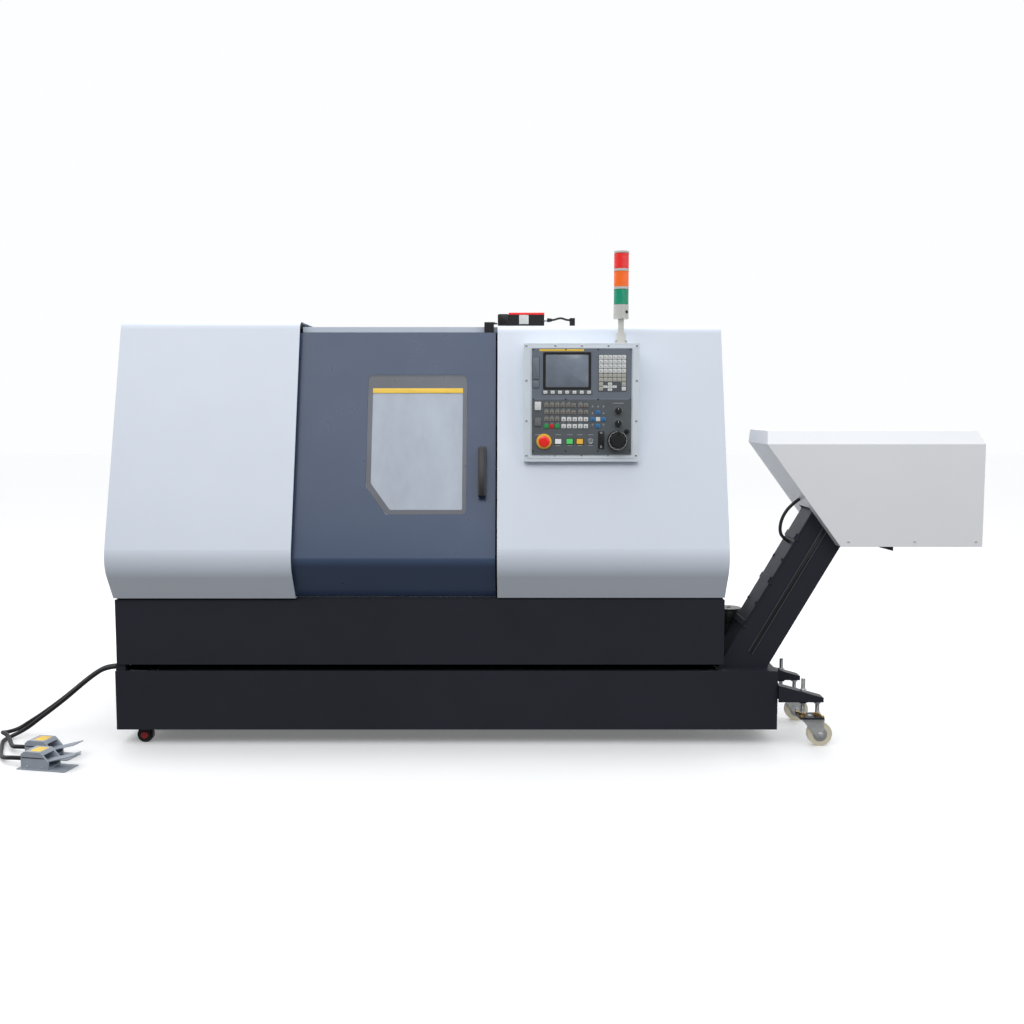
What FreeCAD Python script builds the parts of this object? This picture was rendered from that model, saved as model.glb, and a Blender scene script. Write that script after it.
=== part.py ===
"""Slant-bed CNC turning lathe with a sliding door, an operator panel, a chip conveyor and two foot switches.

Millimetres, +X to the right of the operator's view, +Y to the back, +Z up. The origin is on the floor,
at the centre of the six anchor holes in the levelling pads. Every driving dimension is in the spreadsheet
"Dims", and the sub-parts are bound to its cells with expressions.
"""

import FreeCAD, Part
import math
import os

import Sketcher

Vector = FreeCAD.Vector
Rotation = FreeCAD.Rotation

DIMENSIONS = {
    # base casting and its feet
    "base_length": 2500, "base_top": 610, "base_under": 341, "base_front": 900, "base_back": 500,
    "pedestal_front": 460, "pedestal_inset": 10, "pedestal_bottom": 60, "base_wall": 25, "deck": 30,
    "skirt_wall": 12, "foot_pitch_x": 2150, "foot_pitch_y": 800, "pad_length": 160, "pad_width": 110,
    "pad_height": 25, "anchor_radius": 11, "jack_offset": 48, "jack_radius": 12,
    "jack_length": 135, "nut_height": 19, "nut_radius": 20, "seat_depth": 5, "chute_left": 380,
    "chute_right": 900, "chute_front": 820, "chute_back": 665, "plinth": 9, "plinth_in": 8,
    "plinth_wide": 12,
    # sheet-metal front shared by the covers and the door
    "sheet": 3, "cover_bottom": 619, "bulge_out": 105, "bulge_height": 770, "front_slope": 17.1,
    "tuck_slope": 34.8, "bulge_bend": 130, "roof_height": 1738, "roof_bend": 45, "left_lift": 17,
    "left_out": 12, "left_cover_edge": -505, "right_cover_edge": 318, "cover_back": 495,
    "cover_lip": 25,
    # sliding door
    "door_left": -545, "door_right": 311, "door_depth": 22, "door_fold": 32, "door_bend": 40,
    "door_bottom": 622.6, "door_top": -30, "window_left": -218, "window_right": 192,
    "window_bottom": 963, "window_top": 1530, "window_cut_x": 84, "window_cut_z": 112, "window_corner": 22,
    "window_lap": 20, "glass": 8, "handle_x": 257, "handle_low": 1036, "handle_high": 1236,
    "handle_reach": 42, "handle_width": 30, "handle_grip": 16, "handle_corner": 7, "rail_size": 14,
    "latch_width": 40, "latch_height": 44, "latch_plate": 6, "latch_inset": 9,
    # slanted bed and the spindle line
    "bed_angle": 45, "bed_left": -1040, "bed_right": 1090, "spindle_y": -520, "spindle_z": 1060,
    "spindle_drop": 230, "bed_low": 250, "bed_high": 470, "bed_back_top": 90, "bed_back_foot": 150,
    "bed_wall": 50, "way_width": 60, "way_height": 25, "way_left": -440, "tail_way_low": -210,
    "tail_way_high": -30, "z_way_low": 90, "z_way_high": 450, "slide_gap": 0.3, "fit": 0.05,
    "head_length": 520, "head_right": -480, "head_half": 180, "head_above": 170, "bearing_outer": 95,
    "bearing_inner": 60, "bearing_width": 60, "nose_radius": 85, "nose_length": 30, "spindle_bore": 31,
    "spindle_rear": -1130, "actuator_radius": 75, "actuator_left": -1235, "pulley_left": -1120,
    "pulley_right": -1076, "spindle_pulley": 100, "motor_pulley": 70, "belt_thick": 8, "belt_gap": 0.3,
    "chuck_radius": 105, "chuck_length": 90, "chuck_bore": 26, "jaw_width": 32, "jaw_inner": 30,
    "jaw_length": 58, "jaw_seat": 20, "jaw_front": 45, "jaw_step": 22, "jaw_gap": 0.3,
    # motors
    "motor_y": 320, "motor_z": 770, "motor_half": 132, "motor_length": 420, "motor_left": -1040,
    "motor_shaft": 24, "motor_seat": 70, "servo_half": 65, "servo_length": 125,
    # carriage, turret and tailstock
    "screw_u": 270, "screw_n": 25, "screw_radius": 20, "screw_left": -400, "screw_end": 14,
    "bearing_block": 45, "saddle_left": 490, "saddle_length": 260, "saddle_low": 80, "saddle_high": 460,
    "saddle_thick": 60, "cross_low": 215, "cross_high": 530, "cross_thick": 85, "turret_u": 430,
    "turret_half": 108, "turret_above": 108, "turret_length": 230, "disc_radius": 125,
    "disc_thick": 84, "disc_gap": 4, "disc_shaft": 45, "tool_count": 8, "tool_width": 34, "tool_long": 50,
    "tool_deep": 56, "x_servo_length": 130, "x_servo_half": 45, "tail_left": 800,
    "tail_length": 250, "tail_foot_low": 218,
    "tail_half": 74, "tail_foot_thick": 70, "quill_radius": 40, "quill_out": 60, "quill_inside": 210,
    "centre_length": 85, "centre_radius": 28,
    # inner guards, roof, back and cabinet
    "guard_depth": 80, "guard_back": 80, "bulkhead_x": -470, "guard_right": 1075, "nose_clear": 112,
    "roof_drop": 4, "cabinet_left": -420, "cabinet_width": 1040, "cabinet_depth": 290,
    "cabinet_bottom": 340, "cabinet_height": 1290, "cabinet_frame": 45, "cabinet_door_thick": 22,
    "cabinet_door_gap": 1, "hinge_radius": 8, "hinge_length": 70,
    # operator panel
    "box_left": 427, "box_right": 889, "box_bottom": 1177, "box_top": 1651, "box_front": 910,
    "panel_left": 458, "panel_right": 858, "display_bottom": 1432, "display_top": 1631,
    "display_proud": 5, "screen_left": 511, "screen_right": 688, "screen_bottom": 1469, "screen_top": 1607,
    "screen_deep": 3, "operator_bottom": 1206, "operator_top": 1425, "operator_thick": 6,
    "stop_x": 507, "stop_z": 1259, "stop_ring": 29, "stop_ring_thick": 4, "stop_head": 20,
    "stop_head_thick": 13,
    "stop_stem": 10, "stop_travel": 6, "button_z": 1259, "button_wide": 25, "button_high": 20,
    "button_long": 16, "button_proud": 5, "reset_x": 564, "start_x": 610, "hold_x": 651, "knob_x": 805,
    "feed_z": 1382, "speed_z": 1331, "knob_radius": 13, "knob_long": 16, "knob_stem": 3, "wheel_x": 801,
    "wheel_z": 1263, "wheel_radius": 40, "wheel_thick": 14, "wheel_stem": 8, "crank_radius": 6,
    "crank_offset": 27, "crank_long": 18, "control_gap": 0.4, "stem_long": 14,
    # signal tower and door switch
    "tower_x": 822, "tower_y": 88, "flange_radius": 26, "flange_thick": 12, "collar_radius": 21,
    "collar_high": 33, "pole_radius": 12, "pole_high": 58, "lamp_radius": 31, "lamp_body": 51,
    "lens_high": 62, "lens_rim": 10, "cap_high": 8, "switch_left": 318, "switch_length": 196,
    "switch_y": 67.2, "switch_wide": 40, "switch_high": 54, "switch_lid": 6, "switch_plug": 26,
    "plug_radius": 8, "plug_high": 26, "lead_radius": 4.5,
    # coolant tank, its outriggers and the coolant pump
    "tank_left": -8, "tank_right": 225, "tank_back": -480, "tank_bottom": 67, "tank_top": 313,
    "tank_wall": 4, "tank_lip": 25, "arm_length": 185, "arm_wide": 60, "arm_root_low": 187,
    "arm_root_high": 257, "arm_tip_high": 206, "arm_y_front": -890, "arm_y_back": -510, "arm_wall": 6,
    "caster_x": 362, "caster_trail": 40, "caster_radius": 50, "caster_width": 32, "fork_thick": 5,
    "fork_gap": 2, "caster_plate": 8, "caster_plate_long": 100, "caster_plate_wide": 85,
    "caster_plate_z": 18, "bolt_radius": 8, "bolt_top": 280, "axle_radius": 6, "roller_radius": 33,
    "roller_width": 24, "roller_x": 93, "roller_bracket": 6, "pump_x": 81, "pump_y": -560,
    "pump_radius": 55, "pump_top": 520, "pump_flange": 75, "pump_flange_thick": 14, "pump_intake": 30,
    "pump_reach": 190,
    # chip conveyor
    "conveyor_front": -827, "conveyor_width": 170, "conveyor_thick": 178, "conveyor_bottom": 95,
    "conveyor_left": -1150, "incline": 60, "incline_foot": 69.5, "casing_wall": 3, "incline_length": 1150,
    "belt_half": 45, "belt_plate": 8, "belt_inset": 12, "head_back": 92, "head_shaft": 15,
    "sprocket_thick": 14, "hood_left": 162, "hood_right": 1046, "hood_bottom": 829, "hood_low_left": 469,
    "hood_shoulder": 1247, "hood_top": 1301, "hood_front": -900, "hood_back": -535, "hood_bevel": 30,
    "hood_end_in": 6, "hood_far_in": 24, "hood_sheet": 3, "hood_clear": 6, "chute_x": 630, "chute_wide": 78,
    "chute_low": 803, "chute_step": 5,
    "gear_radius": 52, "gear_out": 74, "gear_foot": 24,
    # hydraulic unit behind the machine
    "power_left": -1180, "power_width": 560, "power_front": 500, "power_depth": 270, "power_feet": 30,
    "power_high": 300, "power_wall": 4, "power_motor": 80,
    # foot switches
    "pedal_turn": -12, "pedal_front_x": -1429, "pedal_front_y": -1186, "pedal_rear_x": -1476,
    "pedal_rear_y": -1040, "pedal_plate_long": 208, "pedal_plate_wide": 94, "pedal_plate": 3,
    "housing_left": -88, "housing_right": 30, "housing_wide": 82, "housing_high": 70, "pivot_x": -22,
    "pivot_z": 24, "pivot_radius": 5, "lever_thick": 3, "tread_left": 34, "tread_right": 128,
    "tread_low": 42, "tread_high": 60, "gland_z": 30, "gland_radius": 12.5, "gland_long": 14,
    # free cords
    "cord_radius": 8.5, "cord_exit_z": 327, "cord_front_y": -875,
    "cord_rear_y": -850, "cord_clamp": 40, "hose_radius": 6.8,
}

os.makedirs("parts", exist_ok=True)
doc = FreeCAD.newDocument("turning_lathe")
sheet = doc.addObject("Spreadsheet::Sheet", "Dims")
for row, (alias, number) in enumerate(DIMENSIONS.items(), start=1):
    sheet.set(f"A{row}", alias)
    sheet.set(f"B{row}", str(number))
    sheet.setAlias(f"B{row}", alias)
doc.recompute()


class Size:
    """A dimension that carries its number and the spreadsheet expression that gives it."""

    def __init__(self, value, text):
        self.value = float(value)
        self.text = text

    def __add__(self, other):
        other = size(other)
        return Size(self.value + other.value, f"({self.text} + {other.text})")

    def __sub__(self, other):
        other = size(other)
        return Size(self.value - other.value, f"({self.text} - {other.text})")

    def __mul__(self, other):
        other = size(other)
        return Size(self.value * other.value, f"({self.text} * {other.text})")

    def __truediv__(self, other):
        other = size(other)
        return Size(self.value / other.value, f"({self.text} / {other.text})")

    def __neg__(self):
        return size(0) - self

    __radd__ = __add__
    __rmul__ = __mul__

    def __rsub__(self, other):
        return size(other) - self

    def __rtruediv__(self, other):
        return size(other) / self


def size(number):
    """The number as a Size; a Size is returned as it is."""
    if isinstance(number, Size):
        return number
    text = f"{float(number):.6f}"
    return Size(number, f"({text})" if number < 0 else text)


def trig(name, angle):
    """The sine, cosine or tangent of an angle in degrees, as a Size."""
    return Size(getattr(math, name)(math.radians(angle.value)), f"{name}({angle.text} * 1 deg)")


class Dims:
    """The spreadsheet's cells as Sizes: D.base_length is the cell with that alias.

    The cells in DATUMS are measured from another feature, so their Sizes start there.
    """

    def __getattr__(self, alias):
        value = Size(sheet.get(alias), f"Dims.{alias}")
        return value + DATUMS[alias]() if alias in DATUMS else value


def left_end():
    """X of the base's left end."""
    return -D.base_length / 2


def right_end():
    """X of the base's right end."""
    return D.base_length / 2


def roof_front():
    """Y of the sloping front at the roof."""
    return slope_y(D.roof_height)


DATUMS = {
    "tank_left": left_end, "roller_x": left_end, "tank_right": right_end, "incline_foot": right_end,
    "hood_left": right_end, "hood_low_left": right_end, "hood_right": right_end, "chute_x": right_end,
    "pump_x": right_end, "caster_x": right_end, "door_top": lambda: D.roof_height,
    "screw_n": lambda: -D.spindle_drop, "caster_plate_z": lambda: D.caster_radius * 2,
    "switch_y": roof_front, "tower_y": lambda: -D.box_front,
}


D = Dims()
PARTS = {}
ALONG = {
    "x": Rotation(Vector(0, 1, 0), 90),
    "y": Rotation(Vector(1, 0, 0), -90),
    "z": Rotation(),
}


def new(kind, label):
    """A new document object of that kind."""
    return doc.addObject(kind, label)


def bind(obj, prop, value):
    """Binds a property to a Size's expression."""
    obj.setExpression(prop, size(value).text)


def place(obj, x, y, z, rotation=None):
    """Puts an object's origin at x, y, z, turned by a fixed rotation."""
    obj.Placement = FreeCAD.Placement(Vector(), rotation or Rotation())
    for letter, value in zip("xyz", (x, y, z)):
        bind(obj, f"Placement.Base.{letter}", value)
    return obj


def turn(obj, axis, angle):
    """Turns an object about a unit axis by an angle in degrees that stays bound to its cell."""
    obj.Placement = FreeCAD.Placement(obj.Placement.Base, Rotation(Vector(*axis), 1))
    obj.setExpression("Placement.Rotation.Angle", f"{size(angle).text} * 1 deg")
    return obj


def box(x0, x1, y0, y1, z0, z1, label="block"):
    """A block between two limits on each axis."""
    obj = new("Part::Box", label)
    for prop, low, high in (("Length", x0, x1), ("Width", y0, y1), ("Height", z0, z1)):
        bind(obj, prop, size(high) - low)
    return place(obj, x0, y0, z0)


def cylinder(axis, radius, start, end, a, b, label="round"):
    """A cylinder along an axis from start to end; a and b are its other two coordinates in X, Y, Z order."""
    obj = new("Part::Cylinder", label)
    bind(obj, "Radius", radius)
    bind(obj, "Height", size(end) - start)
    at = {"x": (start, a, b), "y": (a, start, b), "z": (a, b, start)}[axis]
    return place(obj, *at, ALONG[axis])


def cone(axis, radius1, radius2, start, end, a, b, label="cone"):
    """A cone along an axis from start to end, with a radius at each."""
    obj = new("Part::Cone", label)
    bind(obj, "Radius1", radius1)
    bind(obj, "Radius2", radius2)
    bind(obj, "Height", size(end) - start)
    at = {"x": (start, a, b), "y": (a, start, b), "z": (a, b, start)}[axis]
    return place(obj, *at, ALONG[axis])


def fuse(*shapes, label="fuse"):
    """One solid from several that overlap or touch."""
    obj = new("Part::MultiFuse", label)
    obj.Shapes = list(shapes)
    obj.Refine = True
    return obj


def cut(base, *tools, label="cut"):
    """The base with the tools taken away."""
    obj = new("Part::Cut", label)
    obj.Base = base
    obj.Tool = tools[0] if len(tools) == 1 else fuse(*tools, label="tools")
    return obj


def common(first, second, label="common"):
    """What two solids share."""
    obj = new("Part::Common", label)
    obj.Base = first
    obj.Tool = second
    return obj


def group(*shapes, label="group"):
    """Several separate solids in one node."""
    obj = new("Part::Compound", label)
    obj.Links = list(shapes)
    return obj


def keep(name, obj):
    """Names a finished sub-part, which becomes parts/NAME.step."""
    obj.Label = name
    PARTS[name] = obj
    return obj


def polygon(sketch, points):
    """A closed outline whose corners are each held by two distances bound to the spreadsheet."""
    corners = [Vector(size(a).value, size(b).value, 0) for a, b in points]
    for start, end in zip(corners, corners[1:] + corners[:1]):
        sketch.addGeometry(Part.LineSegment(start, end), False)
    count = len(points)
    for side in range(count):
        sketch.addConstraint(Sketcher.Constraint("Coincident", side, 2, (side + 1) % count, 1))
    for side, pair in enumerate(points):
        for kind, value in zip(("DistanceX", "DistanceY"), pair):
            value = size(value)
            index = sketch.addConstraint(Sketcher.Constraint(kind, -1, 1, side, 1, value.value))
            sketch.setExpression(f"Constraints[{index}]", value.text)


def corner_edges(shape, plane, corner):
    """The names of the straight edges that stand on one corner of the outline."""
    first, second = {"XY_Plane": (0, 1), "XZ_Plane": (0, 2), "YZ_Plane": (1, 2)}[plane]
    a, b = (size(value).value for value in corner)
    return [
        f"Edge{number}"
        for number, edge in enumerate(shape.Edges, start=1)
        if all(math.hypot(v.Point[first] - a, v.Point[second] - b) < 0.01 for v in edge.Vertexes)
    ]


def prism(plane, points, start, end, bends=(), label="prism"):
    """A body padded from an outline between two limits; bends is [(radius, [corner, ...]), ...].

    An outline is in X, Y on XY_Plane, in X, Z on XZ_Plane and in Y, Z on YZ_Plane.
    """
    body = new("PartDesign::Body", label)
    sketch = body.newObject("Sketcher::SketchObject", f"{label}_outline")
    plane_object = [f for f in body.Origin.OriginFeatures if f.Role == plane][0]
    sketch.AttachmentSupport = [(plane_object, "")]
    sketch.MapMode = "FlatFace"
    polygon(sketch, points)
    pad = body.newObject("PartDesign::Pad", f"{label}_pad")
    pad.Profile = sketch
    pad.Reversed = plane == "XZ_Plane"
    bind(pad, "Length", size(end) - start)
    body.Tip = pad
    last = pad
    for radius, corners in bends:
        doc.recompute()
        edges = [name for corner in corners for name in corner_edges(last.Shape, plane, corner)]
        fillet = body.newObject("PartDesign::Fillet", f"{label}_bend")
        fillet.Base = (last, edges)
        bind(fillet, "Radius", radius)
        body.Tip = fillet
        last = fillet
    at = {"XY_Plane": (0, 0, start), "XZ_Plane": (0, start, 0), "YZ_Plane": (start, 0, 0)}[plane]
    return place(body, *at)


# ---------------------------------------------------------------- the sloping front


def slope_y(z, depth=0):
    """Y of the sloping front at height z, a depth inside its outer face."""
    run = (size(z) - D.bulge_height) * trig("tan", D.front_slope)
    return run - D.base_front - D.bulge_out + size(depth) / trig("cos", D.front_slope)


def tuck_y(z, depth=0):
    """Y of the tucked-in lower front at height z, a depth inside its outer face."""
    run = (D.bulge_height - z) * trig("tan", D.tuck_slope)
    return run - D.base_front - D.bulge_out + size(depth) / trig("cos", D.tuck_slope)


def bulge_point(depth=0):
    """The bend between the slope and the tuck, a depth inside the outer face."""
    slopes = trig("tan", D.front_slope) + trig("tan", D.tuck_slope)
    rise = size(depth) * (1 / trig("cos", D.tuck_slope) - 1 / trig("cos", D.front_slope)) / slopes
    return slope_y(D.bulge_height + rise, depth), D.bulge_height + rise


def front_band(outer, inner, bottom, top):
    """The outline of a bent sheet on the front, between two depths and cut level at its bottom and top."""
    return [
        (tuck_y(bottom, outer), bottom),
        bulge_point(outer),
        (slope_y(top, outer), top),
        (slope_y(top, inner), top),
        bulge_point(inner),
        (tuck_y(bottom, inner), bottom),
    ]


def front_sheet(outer, thick, bottom, top, bend, start, end, label):
    """A bent sheet on the front, with its bend rounded."""
    outline = front_band(outer, size(outer) + thick, bottom, top)
    bends = [(bend, [outline[1]]), (size(bend) - thick, [outline[4]])]
    return prism("YZ_Plane", outline, start, end, bends, label)


def front_shell(depth, top, start, end, open_left):
    """A cover: front, roof, back and one end in bent sheet, open below inside a lip and open at one end."""

    def outline(inset, low):
        back = D.cover_back - inset
        return [
            (tuck_y(low, size(depth) + inset), low),
            bulge_point(size(depth) + inset),
            (slope_y(size(top) - inset, size(depth) + inset), size(top) - inset),
            (back, size(top) - inset),
            (back, low),
        ]

    def solid(inset, low, x0, x1, label):
        points = outline(inset, low)
        bends = [(D.bulge_bend - inset, [points[1]]), (D.roof_bend - inset, [points[2]])]
        return prism("YZ_Plane", points, x0, x1, bends, label)

    inside = (start - 1, end - D.sheet) if open_left else (start + D.sheet, end + 1)
    below = (start - 1, end - D.cover_lip) if open_left else (start + D.cover_lip, end + 1)
    outer = solid(0, D.cover_bottom, start, end, "cover_outside")
    inner = solid(D.sheet, D.cover_bottom + D.sheet, *inside, "cover_inside")
    front = tuck_y(D.cover_bottom, size(depth) + D.cover_lip)
    mouth = box(*below, front, D.cover_back - D.cover_lip, D.cover_bottom - 1, D.cover_bottom + D.sheet + 1)
    return cut(outer, inner, mouth)


# ---------------------------------------------------------------- the slanted bed's own axes


def bed_point(along, out):
    """Y and Z of a point a distance up the slant and a distance out from it, from the spindle's axis."""
    sine, cosine = trig("sin", D.bed_angle), trig("cos", D.bed_angle)
    along, out = size(along), size(out)
    return D.spindle_y + along * cosine - out * sine, D.spindle_z + along * sine + out * cosine


def slant_box(x0, x1, u0, u1, n0, n1, label="slant_block"):
    """A block that lies square to the slanted bed."""
    obj = new("Part::Box", label)
    for prop, low, high in (("Length", x0, x1), ("Width", u0, u1), ("Height", n0, n1)):
        bind(obj, prop, size(high) - low)
    place(obj, x0, *bed_point(u0, n0))
    return turn(obj, (1, 0, 0), D.bed_angle)


def spoke_box(x0, x1, r0, r1, width, angle, centre, label="spoke"):
    """A block that stands out from an axis along X, at an angle from the vertical."""
    obj = new("Part::Box", label)
    width, r0 = size(width), size(r0)
    bind(obj, "Length", size(x1) - x0)
    bind(obj, "Width", width)
    bind(obj, "Height", size(r1) - r0)
    sine, cosine = math.sin(math.radians(angle)), math.cos(math.radians(angle))
    y = centre[0] - width * (cosine / 2) - r0 * sine
    z = centre[1] - width * (sine / 2) + r0 * cosine
    return place(obj, x0, y, z, Rotation(Vector(1, 0, 0), angle))


BED_TOP = -D.spindle_drop
WAY_TOP = BED_TOP + D.way_height
SPINDLE = (D.spindle_y, D.spindle_z)
HALF = D.base_length / 2


def make_base():
    """Base: a hollow pedestal, a deck over the tank, a skirt round it and the plinth under the covers."""
    left, right = -HALF + D.pedestal_inset, HALF - D.pedestal_inset
    front, back = -D.pedestal_front, D.base_back
    wall, deck = D.base_wall, D.base_top - D.deck
    pedestal = box(left, right, front, back, D.pedestal_bottom, D.base_top)
    hollow = box(left + wall, right - wall, front + wall, back - wall, D.pedestal_bottom + wall, deck)
    overhang = box(-HALF, HALF, -D.base_front, front, D.base_under, D.base_top)
    skirt = D.skirt_wall
    under = box(-HALF + skirt, HALF - skirt, skirt - D.base_front, front + 1, D.base_under - 1, deck)
    chute = box(-D.chute_left, D.chute_right, -D.chute_front, -D.chute_back, deck - 1, D.base_top + 1)
    shell = cut(fuse(pedestal, cut(overhang, under)), hollow, chute)
    lip = D.plinth_in
    plinth_top = D.base_top + D.plinth
    strip = box(lip - HALF, HALF - lip, lip - D.base_front, lip + D.plinth_wide - D.base_front,
                D.base_top, plinth_top)
    ends = [
        box(x, x + D.plinth_wide, lip - D.base_front, D.cover_back - 5, D.base_top, plinth_top)
        for x in (lip - HALF, HALF - lip - D.plinth_wide)
    ]
    rear = box(lip - HALF, HALF - lip, D.cover_back - D.plinth_wide - 3, D.cover_back - 3, D.base_top,
               plinth_top)
    holes = []
    for x, y, side in feet():
        low, high = D.pedestal_bottom - 1, D.pedestal_bottom + wall + 1
        holes.append(cylinder("z", D.anchor_radius + 3, low, high, x, y))
        holes.append(cylinder("z", D.jack_radius + D.fit, low, high, x, y - D.jack_offset * side))
    keep("base_frame", cut(fuse(shell, strip, rear, *ends), *holes))


def feet():
    """Centres of the six pads' anchor holes, with the side of the machine that each is on."""
    columns = (-D.foot_pitch_x / 2, size(0), D.foot_pitch_x / 2)
    rows = ((-D.foot_pitch_y / 2, -1), (D.foot_pitch_y / 2, 1))
    return [(x, y, side) for x in columns for y, side in rows]


def make_feet():
    """Six levelling pads, each with an anchor hole, a jack screw in a seat and a lock nut."""
    solids = []
    for x, y, side in feet():
        jack_y = y - D.jack_offset * side
        centre = y - D.jack_offset * (side / 2)
        pad = box(x - D.pad_width / 2, x + D.pad_width / 2, centre - D.pad_length / 2,
                  centre + D.pad_length / 2, 0, D.pad_height)
        hole = cylinder("z", D.anchor_radius, -1, D.pad_height + 1, x, y)
        seat = D.pad_height - D.seat_depth
        pocket = cylinder("z", D.jack_radius + D.fit, seat, D.pad_height + 1, x, jack_y)
        solids.append(cut(pad, hole, pocket))
        screw = cylinder("z", D.jack_radius, seat, seat + D.jack_length, x, jack_y)
        nut = new("Part::Prism", "nut")
        nut.Polygon = 6
        bind(nut, "Circumradius", D.nut_radius)
        bind(nut, "Height", D.nut_height)
        place(nut, x, jack_y, D.pedestal_bottom - D.nut_height)
        solids.append(fuse(screw, nut))
    keep("levelling_feet", group(*solids))


def bed_outline(wall=0):
    """The bed's section: its foot, its slanted face and its back."""
    wall = size(wall)
    front = bed_point(-D.bed_low, BED_TOP)[0] + wall
    sine, cosine = trig("sin", D.bed_angle), trig("cos", D.bed_angle)
    face = BED_TOP - wall

    def height(y):
        return D.spindle_z + (y - D.spindle_y + face * sine) / cosine * sine + face * cosine

    top = bed_point(D.bed_high, BED_TOP)[1] - wall
    knee = D.spindle_y + ((top - D.spindle_z - face * cosine) / sine) * cosine - face * sine
    floor = D.base_top + wall
    return [(front, floor), (front, height(front)), (knee, top), (D.bed_back_top - wall, top),
            (D.bed_back_foot - wall, floor)]


def make_bed():
    """Slanted bed: a hollow casting with two pairs of ways and the ball screw's bearing blocks."""
    outer = prism("YZ_Plane", bed_outline(), D.bed_left, D.bed_right, label="bed")
    inner = prism("YZ_Plane", bed_outline(D.bed_wall), D.bed_left + D.bed_wall, D.bed_right - D.bed_wall,
                  label="bed_hollow")
    way_right = D.guard_right - 5
    edges = (D.z_way_low, D.z_way_high - D.way_width, D.tail_way_low, D.tail_way_high - D.way_width)
    ways = [slant_box(D.way_left, way_right, low, low + D.way_width, BED_TOP - 1, WAY_TOP) for low in edges]
    half = D.bearing_block / 2 + 8
    blocks = [
        slant_box(start, start + D.bearing_block, D.screw_u - half, D.screw_u + half, BED_TOP - 1,
                  D.screw_n + D.screw_radius + 12)
        for start in (D.screw_left - D.bearing_block, way_right - D.bearing_block)
    ]
    bores = cylinder("x", D.screw_end + D.fit, D.screw_left - D.bearing_block - 1, D.bed_right + 1,
                     *bed_point(D.screw_u, D.screw_n))
    keep("slant_bed", cut(fuse(cut(outer, inner), *ways, *blocks), bores))


def make_spindle_line():
    """Headstock, its bearings, the spindle with its pulley and draw cylinder, the chuck and its jaws."""
    left = D.head_right - D.head_length
    casting = slant_box(left, D.head_right, -D.head_half, D.head_half, BED_TOP, D.head_above)
    bore = cylinder("x", D.bearing_outer + D.fit, left - 1, D.head_right + 1, *SPINDLE)
    rings = []
    for start in (left, D.head_right - D.bearing_width):
        ring = cylinder("x", D.bearing_outer, start, start + D.bearing_width, *SPINDLE)
        hole = cylinder("x", D.bearing_inner + D.fit, start - 1, start + D.bearing_width + 1, *SPINDLE)
        rings.append(cut(ring, hole))
    keep("headstock", group(cut(casting, bore), *rings))
    face = D.head_right + D.nose_length
    steps = [
        cylinder("x", D.bearing_inner, D.spindle_rear, face, *SPINDLE),
        cylinder("x", D.nose_radius, D.head_right + 2, face, *SPINDLE),
        cylinder("x", D.spindle_pulley, D.pulley_left, D.pulley_right, *SPINDLE),
        cylinder("x", D.actuator_radius, D.actuator_left, D.spindle_rear, *SPINDLE),
    ]
    bore = cylinder("x", D.spindle_bore, D.actuator_left - 1, face + 1, *SPINDLE)
    keep("spindle", cut(fuse(*steps), bore))
    front = face + D.chuck_length
    disc = cylinder("x", D.chuck_radius, face, front, *SPINDLE)
    hole = cylinder("x", D.chuck_bore, face - 1, front + 1, *SPINDLE)
    seat = front - D.jaw_seat
    gap = D.jaw_gap
    slots = [
        spoke_box(seat - gap, front + 1, 0, D.chuck_radius + 5, D.jaw_width + gap * 2, angle, SPINDLE)
        for angle in (0, 120, 240)
    ]
    keep("chuck_body", cut(disc, hole, *slots))
    for number, angle in enumerate((0, 120, 240), start=1):
        outer = D.jaw_inner + D.jaw_length
        step = D.jaw_inner + D.jaw_step
        low = spoke_box(seat, front + D.jaw_front / 2, D.jaw_inner, outer, D.jaw_width, angle, SPINDLE)
        high = spoke_box(seat, front + D.jaw_front, step, outer, D.jaw_width, angle, SPINDLE)
        keep(f"chuck_jaw_{number}", fuse(low, high))


def loop(first, second, radius1, radius2, start, end, label):
    """A band round two circles whose axes lie along X: their common outer tangents and both arcs."""
    (y1, z1), (y2, z2) = ((size(a).value, size(b).value) for a, b in (first, second))
    radius1, radius2 = size(radius1).value, size(radius2).value
    distance = math.hypot(y2 - y1, z2 - z1)
    heading = math.atan2(z2 - z1, y2 - y1)
    spread = math.acos((radius1 - radius2) / distance)

    def on(y, z, radius, angle):
        return Vector(size(start).value, y + radius * math.cos(angle), z + radius * math.sin(angle))

    a1, a2 = on(y1, z1, radius1, heading + spread), on(y1, z1, radius1, heading - spread)
    b1, b2 = on(y2, z2, radius2, heading + spread), on(y2, z2, radius2, heading - spread)
    edges = [
        Part.Arc(a1, on(y1, z1, radius1, heading + math.pi), a2).toShape(),
        Part.LineSegment(a2, b2).toShape(),
        Part.Arc(b2, on(y2, z2, radius2, heading), b1).toShape(),
        Part.LineSegment(b1, a1).toShape(),
    ]
    solid = Part.Face(Part.Wire(edges)).extrude(Vector(size(end).value - size(start).value, 0, 0))
    obj = new("Part::Feature", label)
    obj.Shape = solid
    return obj


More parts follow.
